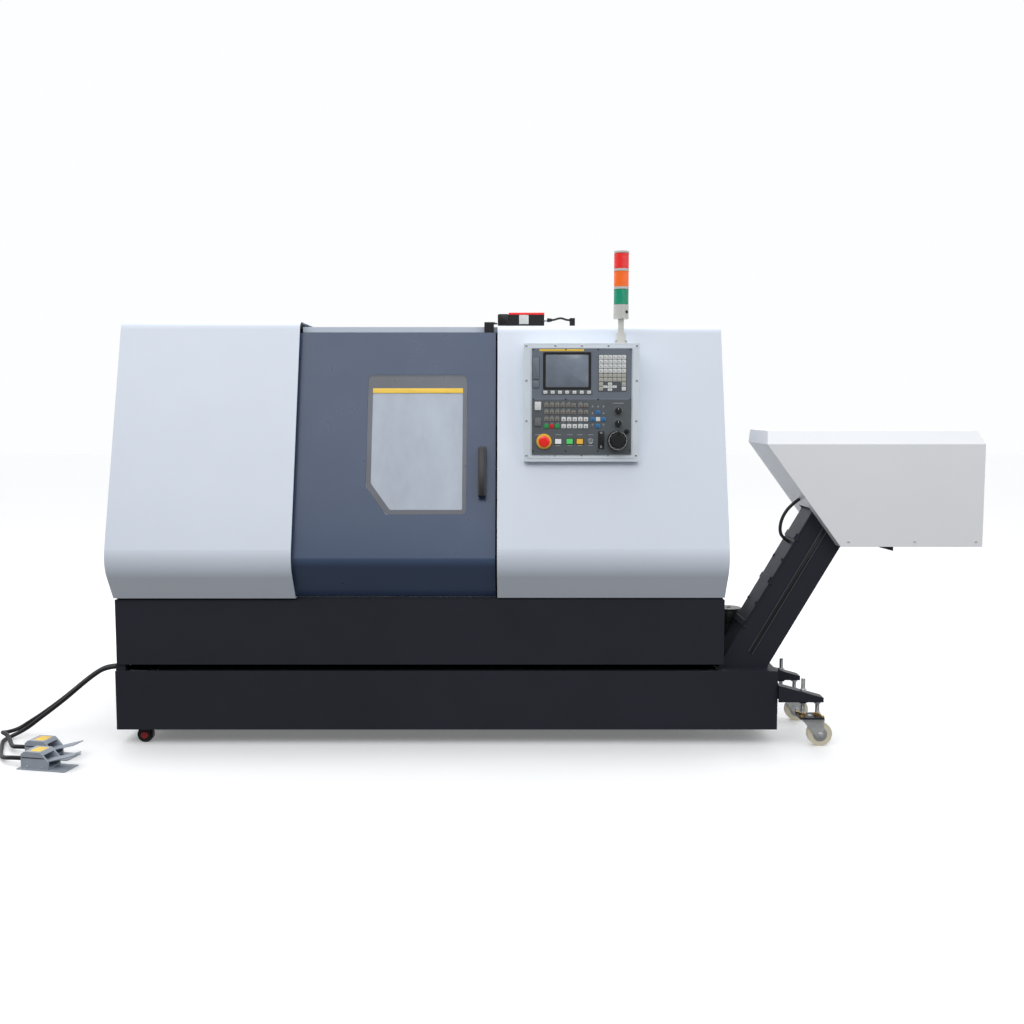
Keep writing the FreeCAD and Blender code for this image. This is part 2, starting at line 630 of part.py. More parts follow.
def make_drives():
    """Spindle motor on the deck, the Z servo on the bed's end, the motor's pulley and the drive belt."""
    right = D.motor_left + D.motor_length
    y, z = D.motor_y, D.motor_z
    frame = box(D.motor_left, right, y - D.motor_half, y + D.motor_half, z - D.motor_half, z + D.motor_half)
    foot = box(D.motor_left + 40, right - 40, y - D.motor_half - 15, y + D.motor_half + 15, D.base_top,
               z - D.motor_half + 1)
    socket = cylinder("x", D.motor_shaft + D.fit, D.motor_left - 1, D.motor_left + D.motor_seat, y, z)
    motor = cut(fuse(frame, foot), socket)
    servo = slant_box(D.bed_right, D.bed_right + D.servo_length, D.screw_u - D.servo_half,
                      D.screw_u + D.servo_half, D.screw_n - D.servo_half, D.screw_n + D.servo_half)
    bore = cylinder("x", D.screw_end + D.fit, D.bed_right - 1, D.bed_right + 30,
                    *bed_point(D.screw_u, D.screw_n))
    keep("drive_motors", group(motor, cut(servo, bore)))
    wheel = cylinder("x", D.motor_pulley, D.pulley_left, D.pulley_right, y, z)
    shaft = cylinder("x", D.motor_shaft, D.pulley_left, D.motor_left + D.motor_seat - 1, y, z)
    keep("motor_pulley", fuse(wheel, shaft))
    inset = 4
    low, high = D.pulley_left + inset, D.pulley_right - inset
    near, far = D.belt_gap, D.belt_gap + D.belt_thick
    outer = loop(SPINDLE, (y, z), D.spindle_pulley + far, D.motor_pulley + far, low, high, "belt_outside")
    inner = loop(SPINDLE, (y, z), D.spindle_pulley + near, D.motor_pulley + near, low - 1, high + 1,
                 "belt_inside")
    keep("drive_belt", cut(outer, inner))


def make_carriage():
    """Saddle on the Z ways, the ball screw, the cross slide with its servo, and the turret."""
    left, right = D.saddle_left, D.saddle_left + D.saddle_length
    under = WAY_TOP + D.slide_gap
    plate = slant_box(left, right, D.saddle_low, D.saddle_high, under, under + D.saddle_thick)
    half = D.bearing_block / 2 + 12
    nut = slant_box(left + 30, right - 30, D.screw_u - half, D.screw_u + half, BED_TOP + 2, under + 1)
    screw_at = bed_point(D.screw_u, D.screw_n)
    bore = cylinder("x", D.screw_radius + D.fit, left - 1, right + 1, *screw_at)
    middle = (left + right) / 2
    servo = slant_box(middle - D.x_servo_half, middle + D.x_servo_half, D.saddle_high - 1,
                      D.saddle_high + D.x_servo_length, under + 1, under + D.saddle_thick - 1)
    keep("saddle", cut(fuse(plate, nut, servo), bore))
    end = D.bed_right + 25
    block = D.guard_right - 5 - D.bearing_block
    thread = cylinder("x", D.screw_radius, D.screw_left + 0.5, block - 0.5, *screw_at)
    journal = cylinder("x", D.screw_end, D.screw_left - D.bearing_block + 2, end, *screw_at)
    keep("z_ballscrew", fuse(thread, journal))
    low = under + D.saddle_thick + D.slide_gap
    top = low + D.cross_thick
    slide = slant_box(left, right, D.cross_low, D.cross_high, low, top)
    start = left
    body = slant_box(start, start + D.turret_length, D.turret_u - D.turret_half, D.turret_u + D.turret_half,
                     top - 1, D.turret_above)
    axis = bed_point(D.turret_u, 0)
    bore = cylinder("x", D.disc_shaft + D.fit, start - 1, start + 70, *axis)
    keep("cross_slide", cut(fuse(slide, body), bore))
    disc_right = start - D.disc_gap
    disc_left = disc_right - D.disc_thick
    disc = cylinder("x", D.disc_radius, disc_left, disc_right, *axis)
    shaft = cylinder("x", D.disc_shaft, disc_right - 1, start + 65, *axis)
    middle = (disc_left + disc_right) / 2
    tools = []
    for number in range(int(D.tool_count.value)):
        angle = 45 + 360 / D.tool_count.value * number
        holder = spoke_box(middle - D.tool_deep / 2, middle + D.tool_deep / 2, D.disc_radius - 8,
                           D.disc_radius + D.tool_long / 2, D.tool_width, angle, axis)
        shank = spoke_box(middle - D.tool_deep / 2, middle - D.tool_deep / 2 + D.tool_width / 2,
                          D.disc_radius, D.disc_radius + D.tool_long, D.tool_width / 2, angle, axis)
        tools += [holder, shank]
    keep("turret", fuse(disc, shaft, *tools))


def make_tailstock():
    """Tailstock on its own ways, with a quill that carries a live centre."""
    left, right = D.tail_left, D.tail_left + D.tail_length
    under = WAY_TOP + D.slide_gap
    low = -D.tail_foot_low
    high = D.tail_way_high + 8
    foot = slant_box(left, right, low, high, under, under + D.tail_foot_thick)
    body = slant_box(left, right, low + 90, D.tail_half, under + D.tail_foot_thick - 1, D.tail_half)
    bore = cylinder("x", D.quill_radius + D.fit, left - 1, left + D.quill_inside + 10, *SPINDLE)
    keep("tailstock", cut(fuse(foot, body), bore))
    barrel = cylinder("x", D.quill_radius, left - D.quill_out, left + D.quill_inside, *SPINDLE)
    face = left - D.quill_out
    centre = cone("x", 1.5, D.centre_radius, face - D.centre_length, face - D.centre_length / 3, *SPINDLE)
    collar = cylinder("x", D.centre_radius, face - D.centre_length / 3, face + 1, *SPINDLE)
    keep("quill", fuse(barrel, centre, collar))


def window_outline(grow=0):
    """The door's window: square at the top and cut off at its lower left corner."""
    grow = size(grow)
    left, right = D.window_left - grow, D.window_right + grow
    low, high = D.window_bottom - grow, D.window_top + grow
    cut_x, cut_z = D.window_cut_x + grow * 0.4, D.window_cut_z + grow * 0.4
    return [(left, low + cut_z), (left + cut_x, low), (right, low), (right, high), (left, high)]


def make_door():
    """Sliding door: a folded sheet-metal pan, its laminated window, its handle and the switch's actuator."""
    outer, deep = D.door_depth, D.door_depth + D.door_fold
    pan = front_sheet(outer, D.door_fold, D.door_bottom, D.door_top, D.door_bend,
                      D.door_left, D.door_right, "door_pan")
    inner = front_band(outer + D.sheet, deep + 20, D.door_bottom + D.sheet, D.door_top - D.sheet)
    hollow = prism("YZ_Plane", inner, D.door_left + D.sheet, D.door_right - D.sheet,
                   [(D.door_bend - D.sheet, [inner[1]])], "door_hollow")
    outline = window_outline()
    opening = prism("XZ_Plane", outline, -1200, -500, [(D.window_corner, outline)], "window_opening")
    keep("door_panel", cut(pan, hollow, opening))
    bigger = window_outline(D.window_lap)
    slab = prism("XZ_Plane", bigger, -1200, -500, [(D.window_corner, bigger)], "glass_outline")
    near, far = outer + D.sheet, outer + D.sheet + D.glass
    low, high = D.window_bottom - 60, D.window_top + 60
    layer = prism("YZ_Plane", [(slope_y(low, near), low), (slope_y(high, near), high),
                               (slope_y(high, far), high), (slope_y(low, far), low)],
                  D.door_left + 10, D.door_right - 10, label="glass_layer")
    keep("door_window", common(slab, layer))
    reach = outer - D.handle_reach
    grip = reach + D.handle_grip
    low, high = D.handle_low, D.handle_high
    points = [(slope_y(low, outer), low), (slope_y(low, reach), low), (slope_y(high, reach), high),
              (slope_y(high, outer), high), (slope_y(high - D.handle_grip, outer), high - D.handle_grip),
              (slope_y(high - D.handle_grip, grip), high - D.handle_grip),
              (slope_y(low + D.handle_grip, grip), low + D.handle_grip),
              (slope_y(low + D.handle_grip, outer), low + D.handle_grip)]
    bar = prism("YZ_Plane", points, D.handle_x - D.handle_width / 2, D.handle_x + D.handle_width / 2,
                [(D.handle_corner, points[1:3])], "handle")
    right = D.door_right - D.latch_inset
    left = right - D.latch_width
    top = D.door_top + D.latch_height
    front = slope_y(D.door_top, outer + 4)
    plate = box(left, right, front, front + D.latch_plate, D.door_top, top)
    arm = box(left, right, front, D.switch_y + 6, top - D.latch_plate, top)
    key = box(right - 1, D.switch_left - 2, D.switch_y - 6, D.switch_y + 6, top - D.latch_plate, top)
    foot = box(left, right, front, front + 24, D.door_top, D.door_top + 3)
    keep("door_handle", group(bar, fuse(plate, arm, key, foot)))


def make_enclosure():
    """The white covers, the roof between them with the door's lower rail, and the inner guards."""
    keep("headstock_cover", front_shell(-D.left_out, D.roof_height + D.left_lift, -HALF, D.left_cover_edge,
                                        False))
    keep("tailstock_cover", front_shell(0, D.roof_height, D.right_cover_edge, HALF, True))
    left, right = D.left_cover_edge, D.right_cover_edge
    top = D.roof_height - D.roof_drop
    front = slope_y(D.door_top, D.door_depth + D.door_fold) + 4
    back = D.cover_back
    roof = box(left, right, front, back, top - D.sheet, top)
    strip = box(left, right, front, front + D.sheet, D.door_top + 3, top)
    rear = box(left, right, back - D.sheet, back, D.cover_bottom, top)
    depth = D.door_depth + D.door_fold / 2
    rail_y = tuck_y(D.door_bottom, depth)
    rail = box(D.cover_lip - HALF, D.door_right, rail_y - D.rail_size / 2, rail_y + D.rail_size / 2,
               D.base_top, D.door_bottom - D.slide_gap)
    keep("roof_panel", group(fuse(roof, strip, rear), rail))
    depth = D.guard_depth
    ceiling = top - D.sheet
    wall_back = D.guard_back + D.sheet
    bed = bed_outline()
    side = [(tuck_y(D.base_top, depth), D.base_top), bulge_point(depth), (slope_y(ceiling, depth), ceiling),
            (wall_back, ceiling), (wall_back, bed[2][1]), bed[2], bed[1], bed[0]]
    first = prism("YZ_Plane", side, D.bulkhead_x, D.bulkhead_x + D.sheet, label="bulkhead")
    hole = cylinder("x", D.nose_clear, D.bulkhead_x - 1, D.bulkhead_x + D.sheet + 1, *SPINDLE)
    second = prism("YZ_Plane", side, D.guard_right, D.guard_right + D.sheet, label="end_guard")
    screw = cylinder("x", D.screw_radius + 4, D.guard_right - 1, D.guard_right + D.sheet + 1,
                     *bed_point(D.screw_u, D.screw_n))
    rear = box(D.bulkhead_x + D.sheet, D.guard_right, D.guard_back, wall_back, bed[2][1], ceiling)
    keep("splash_guards", fuse(cut(first, hole), cut(second, screw), rear))


def make_cabinet():
    """Electrical cabinet on the back, with a hinged door."""
    left, right = D.cabinet_left, D.cabinet_left + D.cabinet_width
    front, back = D.base_back, D.base_back + D.cabinet_depth
    low, high = D.cabinet_bottom, D.cabinet_bottom + D.cabinet_height
    frame, sheet_in = D.cabinet_frame, D.sheet
    outer = box(left, right, front, back, low, high)
    inner = box(left + sheet_in, right - sheet_in, front + sheet_in, back - sheet_in, low + sheet_in,
                high - sheet_in)
    mouth = box(left + frame, right - frame, back - sheet_in - 1, back + 1, low + frame, high - frame)
    rack = box(left + 90, right - 90, front + sheet_in - 1, front + 12, low + 90, high - 90)
    modules = []
    shelf = high - 110
    for row, (count, tall, deep) in enumerate(((5, 300, 150), (9, 120, 80), (4, 200, 130))):
        pitch = (right - left - 220) / count
        for column in range(count):
            start = left + 110 + pitch * column
            end = start + pitch - 14
            modules.append(box(start, end, front + 11, front + 11 + deep, shelf - tall, shelf))
        shelf = shelf - tall - 60
    knuckles = [
        cylinder("z", D.hinge_radius, z, z + D.hinge_length, left - D.hinge_radius, back)
        for z in (low + 120, (low + high) / 2, high - 190)
    ]
    holes = [
        cylinder("z", 4 + D.fit, z - 1, z + D.hinge_length + 1, left - D.hinge_radius, back)
        for z in (low + 120, (low + high) / 2, high - 190)
    ]
    keep("cabinet_shell", cut(fuse(cut(outer, inner, mouth), rack, *modules, *knuckles), *holes))
    face = back + D.cabinet_door_gap
    leaf = box(left, right, face, face + D.cabinet_door_thick, low + 2, high - 2)
    pan = box(left + 25, right - 25, face - 1, face + D.cabinet_door_thick - 3, low + 27, high - 27)
    pins = []
    for z in (low + 120, (low + high) / 2, high - 190):
        pins.append(cylinder("z", 4, z + 5, z + D.hinge_length + 22, left - D.hinge_radius, back))
        pins.append(cylinder("z", D.hinge_radius, z + D.hinge_length + D.slide_gap, z + D.hinge_length + 22,
                             left - D.hinge_radius, back))
        pins.append(box(left - D.hinge_radius - 2, left + 12, face + 3, face + 10,
                        z + D.hinge_length + D.slide_gap, z + D.hinge_length + 22))
        pins.append(box(left - D.hinge_radius - 2, left - D.hinge_radius + 3, back, face + 5,
                        z + D.hinge_length + D.slide_gap, z + D.hinge_length + 22))
    latch = cylinder("y", 14, face + D.cabinet_door_thick - 1, face + D.cabinet_door_thick + 12, right - 60,
                     (low + high) / 2)
    lever = box(right - 68, right - 52, face + D.cabinet_door_thick + 11, face + D.cabinet_door_thick + 22,
                (low + high) / 2 - 60, (low + high) / 2 + 14)
    keep("cabinet_door", fuse(cut(leaf, pan), latch, lever, *pins))


PANEL = D.box_front + D.operator_thick


def make_console():
    """Control box, the display unit, the operator panel and every control on it."""
    low, high = D.box_bottom, D.box_top
    wall = D.sheet
    outer = [(-D.box_front, low), (-D.box_front, high), (slope_y(high), high), (slope_y(low), low)]
    inner = [(wall - D.box_front, low + wall), (wall - D.box_front, high - wall),
             (slope_y(high - wall) - wall, high - wall), (slope_y(low + wall) - wall, low + wall)]
    shell = cut(prism("YZ_Plane", outer, D.box_left, D.box_right, label="console"),
                prism("YZ_Plane", inner, D.box_left + wall, D.box_right - wall, label="console_hollow"))
    lap = 8
    openings = [
        box(D.panel_left + lap, D.panel_right - lap, -D.box_front - 1, wall - D.box_front + 1, z0 + lap,
            z1 - lap)
        for z0, z1 in ((D.display_bottom, D.display_top), (D.operator_bottom, D.operator_top))
    ]
    keep("control_box", cut(shell, *openings))
    face = -D.box_front - D.display_proud
    plate = box(D.panel_left, D.panel_right, face, -D.box_front, D.display_bottom, D.display_top)
    back = box(D.panel_left + lap + 2, D.panel_right - lap - 2, -D.box_front - 1, 30 - D.box_front,
               D.display_bottom + lap + 2, D.display_top - lap - 2)
    screen = box(D.screen_left, D.screen_right, face - 1, face + D.screen_deep, D.screen_bottom,
                 D.screen_top)
    keep("display_unit", cut(fuse(plate, back), screen))
    gap = D.control_gap
    plate = box(D.panel_left, D.panel_right, -PANEL, -D.box_front, D.operator_bottom, D.operator_top)
    holes = [cylinder("y", D.stop_stem + gap, -PANEL - 1, 1 - D.box_front, D.stop_x, D.stop_z)]
    ring = cylinder("y", D.stop_ring, -PANEL - D.stop_ring_thick, 1 - PANEL, D.stop_x, D.stop_z)
    hole = cylinder("y", D.stop_stem + gap, -PANEL - D.stop_ring_thick - 1, 1 - PANEL, D.stop_x, D.stop_z)
    wide, tall = D.button_wide / 2, D.button_high / 2
    buttons = (("button_reset", D.reset_x), ("button_start", D.start_x), ("button_hold", D.hold_x))
    for name, x in buttons:
        holes.append(box(x - wide - gap, x + wide + gap, -PANEL - 1, 1 - D.box_front,
                         D.button_z - tall - gap, D.button_z + tall + gap))
        start = -PANEL - D.button_proud
        cap = box(x - wide, x + wide, start, start + D.button_long, D.button_z - tall, D.button_z + tall)
        keep(name, cap)
    knobs = (("feed_knob", D.feed_z), ("speed_knob", D.speed_z))
    for name, z in knobs:
        holes.append(cylinder("y", D.knob_stem + D.fit, -PANEL - 1, 1 - D.box_front, D.knob_x, z))
        back = -PANEL - gap
        grip = cone("y", D.knob_radius * 0.85, D.knob_radius, back - D.knob_long, back, D.knob_x, z)
        stem = cylinder("y", D.knob_stem, back - 1, back + D.stem_long, D.knob_x, z)
        mark = box(D.knob_x - 1.5, D.knob_x + 1.5, back - D.knob_long - 1.5, back - D.knob_long + 3, z,
                   z + D.knob_radius * 0.8)
        keep(name, fuse(grip, stem, mark))
    holes.append(cylinder("y", D.wheel_stem + D.fit, -PANEL - 1, 1 - D.box_front, D.wheel_x, D.wheel_z))
    keep("operator_panel", cut(fuse(plate, cut(ring, hole)), *holes))
    head_back = -PANEL - D.stop_ring_thick - D.stop_travel - gap
    head = cylinder("y", D.stop_head, head_back - D.stop_head_thick, head_back, D.stop_x, D.stop_z)
    stem = cylinder("y", D.stop_stem, head_back - 1, D.stem_long - PANEL, D.stop_x, D.stop_z)
    keep("estop_head", fuse(head, stem))
    back = -PANEL - 6
    wheel = cylinder("y", D.wheel_radius, back - D.wheel_thick, back, D.wheel_x, D.wheel_z)
    hub = cylinder("y", D.wheel_stem, back - 1, D.stem_long - PANEL, D.wheel_x, D.wheel_z)
    crank = cylinder("y", D.crank_radius, back - D.wheel_thick - D.crank_long, back - D.wheel_thick + 1,
                     D.wheel_x + D.crank_offset, D.wheel_z + D.crank_offset * 0.35)
    keep("handwheel", fuse(wheel, hub, crank))


def make_tower():
    """Signal tower: foot, pole, body, the cap and spacers on one post, and three lenses round it."""
    x, y = D.tower_x, D.tower_y
    level = D.box_top
    steps = []
    for radius, tall in ((D.flange_radius, D.flange_thick), (D.collar_radius, D.collar_high),
                         (D.pole_radius, D.pole_high), (D.lamp_radius, D.lamp_body + 6)):
        steps.append(cylinder("z", radius, level, level + tall, x, y))
        level = level + tall
    post = 9
    first = level
    lenses = []
    for number in range(3):
        lens = cylinder("z", D.lamp_radius - 1, level, level + D.lens_high, x, y)
        hole = cylinder("z", post + 1, level - 1, level + D.lens_high + 1, x, y)
        lenses.append(cut(lens, hole))
        level = level + D.lens_high
        rim = D.lens_rim if number < 2 else D.cap_high
        steps.append(cylinder("z", D.lamp_radius, level, level + rim, x, y))
        level = level + rim
    steps.append(cylinder("z", post, first - 1, level - 1, x, y))
    keep("signal_tower", fuse(*steps))
    keep("tower_lenses", group(*lenses))


def make_door_switch():
    """Door switch on the roof with its lid and plug, and the bracket that its lead runs to."""
    left, right = D.switch_left, D.switch_left + D.switch_length
    low = D.roof_height
    top = low + D.switch_high
    y0, y1 = D.switch_y - D.switch_wide / 2, D.switch_y + D.switch_wide / 2
    body = box(left, right, y0, y1, low, top - D.switch_lid)
    lid = box(left + 46, right, y0 + 1, y1 - 1, top - D.switch_lid - 1, top)
    slot = box(left - 1, left + 14, D.switch_y - 9, D.switch_y + 9, low + 10, low + 26)
    plug = cylinder("x", D.plug_radius, right - 1, right + D.switch_plug, D.switch_y, low + D.plug_high)
    clip_x = right + 108
    clip = box(clip_x, clip_x + 22, D.switch_y - 11, D.switch_y + 11, low, low + D.plug_high + 8)
    keep("door_switch", group(cut(fuse(body, lid, plug), slot), clip))


def make_tank():
    """Coolant tank with its rollers' brackets and the clamp that holds the foot switches' leads."""
    left, right = D.tank_left, D.tank_right
    front, back = -D.base_front, D.tank_back
    low, high = D.tank_bottom, D.tank_top
    wall, lip = D.tank_wall, D.tank_lip
    outer = box(left, right, front, back, low, high)
    inner = box(left + wall, right - wall, front + wall, back - wall, low + wall, high - wall)
    mouth = box(left + lip, HALF - lip, front + lip, back - lip, high - wall - 1, high + 1)
    casing_left = incline_x(high, 0) - 4
    casing_right = incline_x(high, 1) + 6
    passage = box(casing_left, casing_right, D.conveyor_front - 1, D.conveyor_front + D.conveyor_width + 1,
                  high - wall - 1, high + 1)
    intake = cylinder("z", D.pump_intake + 2, high - wall - 1, high + 1, D.pump_x, D.pump_y)
    clamp_front = -D.base_front + 10
    clamp = box(left, left + D.cord_clamp, clamp_front, clamp_front + 55, high - 1, D.base_under - 0.5)
    leads = [
        cylinder("x", D.cord_radius, left + 10, left + D.cord_clamp + 1, y, D.cord_exit_z)
        for y in (D.cord_front_y, D.cord_rear_y)
    ]
    brackets = []
    for y in roller_rows():
        for side in (-1, 1):
            edge = y + (D.roller_width / 2 + 2) * side
            y0, y1 = (edge, edge + D.roller_bracket) if side > 0 else (edge - D.roller_bracket, edge)
            brackets.append(box(D.roller_x - 22, D.roller_x + 22, y0, y1, D.roller_radius - 12, low + 1))
    axle = cylinder("y", D.axle_radius + D.fit, front, back, D.roller_x, D.roller_radius)
    tank = fuse(cut(outer, inner, mouth, passage, intake), clamp, *brackets)
    keep("coolant_tank", cut(tank, axle, *leads))
    solids = [cylinder("y", D.roller_radius, y - D.roller_width / 2, y + D.roller_width / 2, D.roller_x,
                       D.roller_radius) for y in roller_rows()]
    first, last = roller_rows()
    half = D.roller_width / 2 + 2 + D.roller_bracket + 3
    rod = cylinder("y", D.axle_radius, first - half, last + half, D.roller_x, D.roller_radius)
    keep("tank_wheelset", fuse(*solids, rod))
    keep("coolant_pump", fuse(
        cylinder("z", D.pump_flange, high, high + D.pump_flange_thick, D.pump_x, D.pump_y),
        cylinder("z", D.pump_radius, high + 1, D.pump_top, D.pump_x, D.pump_y),
        cylinder("z", D.pump_intake, high - D.pump_reach, high + 1, D.pump_x, D.pump_y)))


def roller_rows():
    """The Y of the tank's two rollers."""
    return (60 - D.base_front, D.tank_back - 60)


def make_outriggers():
    """The tank's two tapered arms with their levelling bolts and caster plates, and the swivel casters."""
    root, tip = D.tank_right, D.tank_right + D.arm_length
    low = D.arm_root_low
    arms = []
    for y in (D.arm_y_front, D.arm_y_back):
        half = D.arm_wide / 2
        outline = [(root, low), (tip, low), (tip, D.arm_tip_high), (root, D.arm_root_high)]
        under = [(root - 1, low - 1), (tip + 1, low - 1), (tip + 1, D.arm_tip_high - D.arm_wall),
                 (root - 1, D.arm_root_high - D.arm_wall)]
        channel = cut(prism("XZ_Plane", outline, y - half, y + half, label="arm"),
                      prism("XZ_Plane", under, y - half + D.arm_wall, y + half - D.arm_wall, label="arm_in"))
        x = D.caster_x
        plate_top = D.caster_plate_z + D.caster_plate
        plate = box(x - D.caster_plate_long / 2, x + D.caster_plate_long / 2, y - D.caster_plate_wide / 2,
                    y + D.caster_plate_wide / 2, D.caster_plate_z, plate_top)
        hole = cylinder("z", 8 + D.fit, D.caster_plate_z - 1, plate_top + 1, x, y)
        bolt = cylinder("z", D.bolt_radius, plate_top - 1, D.bolt_top, x - 30, y)
        boss = cylinder("z", D.bolt_radius * 2, low - 8, low + 22, x - 30, y)
        web = box(x - 46, x - 14, y - half + 1, y + half - 1, low, low + D.arm_wall)
        second = cylinder("z", D.bolt_radius, plate_top - 1, low + 8, x + 30, y)
        lug = box(x + 16, x + 44, y - half + 1, y + half - 1, low, low + D.arm_wall)
        arms.append(cut(fuse(channel, plate, bolt, boss, web, second, lug), hole))
    keep("tank_outriggers", group(*arms))
    for name, y in (("front", D.arm_y_front), ("rear", D.arm_y_back)):
        make_caster(name, y)


def make_caster(name, y):
    """A swivel caster: a forged fork that turns in its plate, and a wheel on its own axle."""
    x = D.caster_x
    hub = x + D.caster_trail
    radius = D.caster_radius
    crown_low = radius * 2 + D.fork_gap + 2
    crown_high = D.caster_plate_z - D.slide_gap
    inside = D.caster_width / 2 + D.fork_gap
    outside = inside + D.fork_thick
    crown = box(x - 34, hub + 16, y - outside, y + outside, crown_low, crown_high)
    pin = cylinder("z", 8, crown_high - 1, D.caster_plate_z + D.caster_plate, x, y)
    outline = [(x - 30, crown_low + 1), (hub + 14, crown_low + 1), (hub + 13, radius - 14),
               (hub - 13, radius - 14)]
    legs = [
        prism("XZ_Plane", outline, start, start + D.fork_thick, label="leg")
        for start in (y - outside, y + inside)
    ]
    bore = cylinder("y", D.axle_radius + D.fit, y - outside - 1, y + outside + 1, hub, radius)
    keep(f"caster_fork_{name}", cut(fuse(crown, pin, *legs), bore))
    tread = cylinder("y", radius, y - D.caster_width / 2, y + D.caster_width / 2, hub, radius)
    axle = cylinder("y", D.axle_radius, y - outside - 4, y + outside + 4, hub, radius)
    keep(f"caster_wheel_{name}", fuse(tread, axle))


# ---------------------------------------------------------------- chip conveyor


def incline_x(z, side, inset=0):
    """X of the incline's upper left face (side 0) or lower right face (side 1) at a height."""
    sine, tangent = trig("sin", D.incline), trig("tan", D.incline)
    right = D.incline_foot + (size(z) - D.conveyor_bottom) / tangent
    if side:
        return right - size(inset) / sine
    return right - (D.conveyor_thick - inset) / sine


def incline_point(along, across):
    """A point along the incline from its foot, a distance across from its lower right face."""
    sine, cosine = trig("sin", D.incline), trig("cos", D.incline)
    along, across = size(along), size(across)
    return (D.incline_foot + along * cosine - across * sine,
            D.conveyor_bottom + along * sine + across * cosine)


def conveyor_outline(inset, start, length):
    """The conveyor's section along its run: level in the tank, then up the incline."""
    low = D.conveyor_bottom + inset
    high = D.conveyor_bottom + D.conveyor_thick - inset
    return [(start, low), (incline_x(low, 1, inset), low), incline_point(length, inset),
            incline_point(length, D.conveyor_thick - inset), (incline_x(high, 0, inset), high),
            (start, high)]


def chute():
    """The duct that hangs below the hood's mouth, with its lower edge cut at a slant."""
    front, back = D.conveyor_front, D.conveyor_front + D.conveyor_width
    left, right = D.chute_x, D.chute_x + D.chute_wide
    wall = D.hood_sheet
    side = [(left, D.hood_bottom - D.chute_step), (right, D.chute_low), (right, D.hood_bottom),
            (left, D.hood_bottom)]
    bore = box(left + wall, right - wall, front + wall, back - wall, D.chute_low - 1, D.hood_bottom + 1)
    return cut(prism("XZ_Plane", side, front, back, label="duct"), bore)


def make_conveyor():
    """Chip conveyor: casing, chute, hood, hinged belt, head shaft with sprockets, and the geared motor."""
    front, back = D.conveyor_front, D.conveyor_front + D.conveyor_width
    wall = D.casing_wall
    outer = prism("XZ_Plane", conveyor_outline(size(0), D.conveyor_left, D.incline_length), front, back,
                  label="casing")
    inner = prism("XZ_Plane", conveyor_outline(wall, D.conveyor_left + wall, D.incline_length + 20),
                  front + wall, back - wall, label="casing_hollow")
    level = D.conveyor_bottom + D.conveyor_thick
    mouth = box(D.conveyor_left + wall, HALF - 100, front + wall, back - wall, level - wall - 1, level + 1)
    shaft_x, shaft_z = incline_point(D.incline_length - D.head_back, D.conveyor_thick / 2)
    bore = cylinder("y", D.head_shaft + D.fit, front - 1, back + 1, shaft_x, shaft_z)
    runner_top = D.conveyor_bottom + D.conveyor_thick / 2 - D.belt_half - D.slide_gap
    runners = [
        box(D.conveyor_left + 30, D.incline_foot - 120, y, y + 14, D.conveyor_bottom + wall - 1, runner_top)
        for y in (front + wall - 1, back - wall - 13)
    ]
    blocks = [
        box(x, x + 60, front + 20, back - 20, D.tank_bottom + D.tank_wall, D.conveyor_bottom + 1)
        for x in (D.conveyor_left + 60, size(0), D.incline_foot - 200)
    ]
    rim = [(incline_point(D.gear_foot + 330 + 210 * n, D.conveyor_thick)) for n in range(3)]
    bands = []
    for x, z in rim:
        strap = new("Part::Box", "strap")
        bind(strap, "Length", size(26))
        bind(strap, "Width", D.conveyor_width - 12)
        bind(strap, "Height", size(8))
        place(strap, x, front + 6, z - 4)
        bands.append(turn(strap, (0, -1, 0), D.incline))
    casing = cut(outer, inner, mouth)
    keep("conveyor_casing", group(cut(fuse(casing, *runners, *blocks, *bands), bore), chute()))
    half = D.belt_half
    middle = D.conveyor_thick / 2
    length = D.incline_length - D.head_back

    def belt(inset, grow):
        points = conveyor_outline(middle - half + inset, D.conveyor_left + 40 + inset, length + half - inset)
        ends = [points[0], points[2], points[3], points[5]]
        y0 = front + wall + D.belt_inset - grow
        y1 = back - wall - D.belt_inset + grow
        return prism("XZ_Plane", points, y0, y1, [(half - inset - 0.5, ends)], "belt")

    keep("conveyor_belt", cut(belt(size(0), size(0)), belt(D.belt_plate, size(1))))
    teeth = half - D.belt_plate - 1.2
    discs = [
        cylinder("y", teeth, y, y + D.sprocket_thick, shaft_x, shaft_z)
        for y in (front + wall + D.belt_inset + 8, back - wall - D.belt_inset - 8 - D.sprocket_thick)
    ]
    rod = cylinder("y", D.head_shaft, front - 12, back + 40, shaft_x, shaft_z)
    keep("conveyor_head_shaft", fuse(rod, *discs))
    gear = cylinder("y", D.gear_radius, back + 1, back + D.gear_out, shaft_x, shaft_z)
    foot = box(shaft_x - 45, shaft_x + 45, back, back + D.gear_foot, shaft_z - 45, shaft_z + 45)
    socket = cylinder("y", D.head_shaft + D.fit, back - 1, back + 45, shaft_x, shaft_z)
    motor = cut(fuse(gear, foot), socket)
    make_hood(motor)


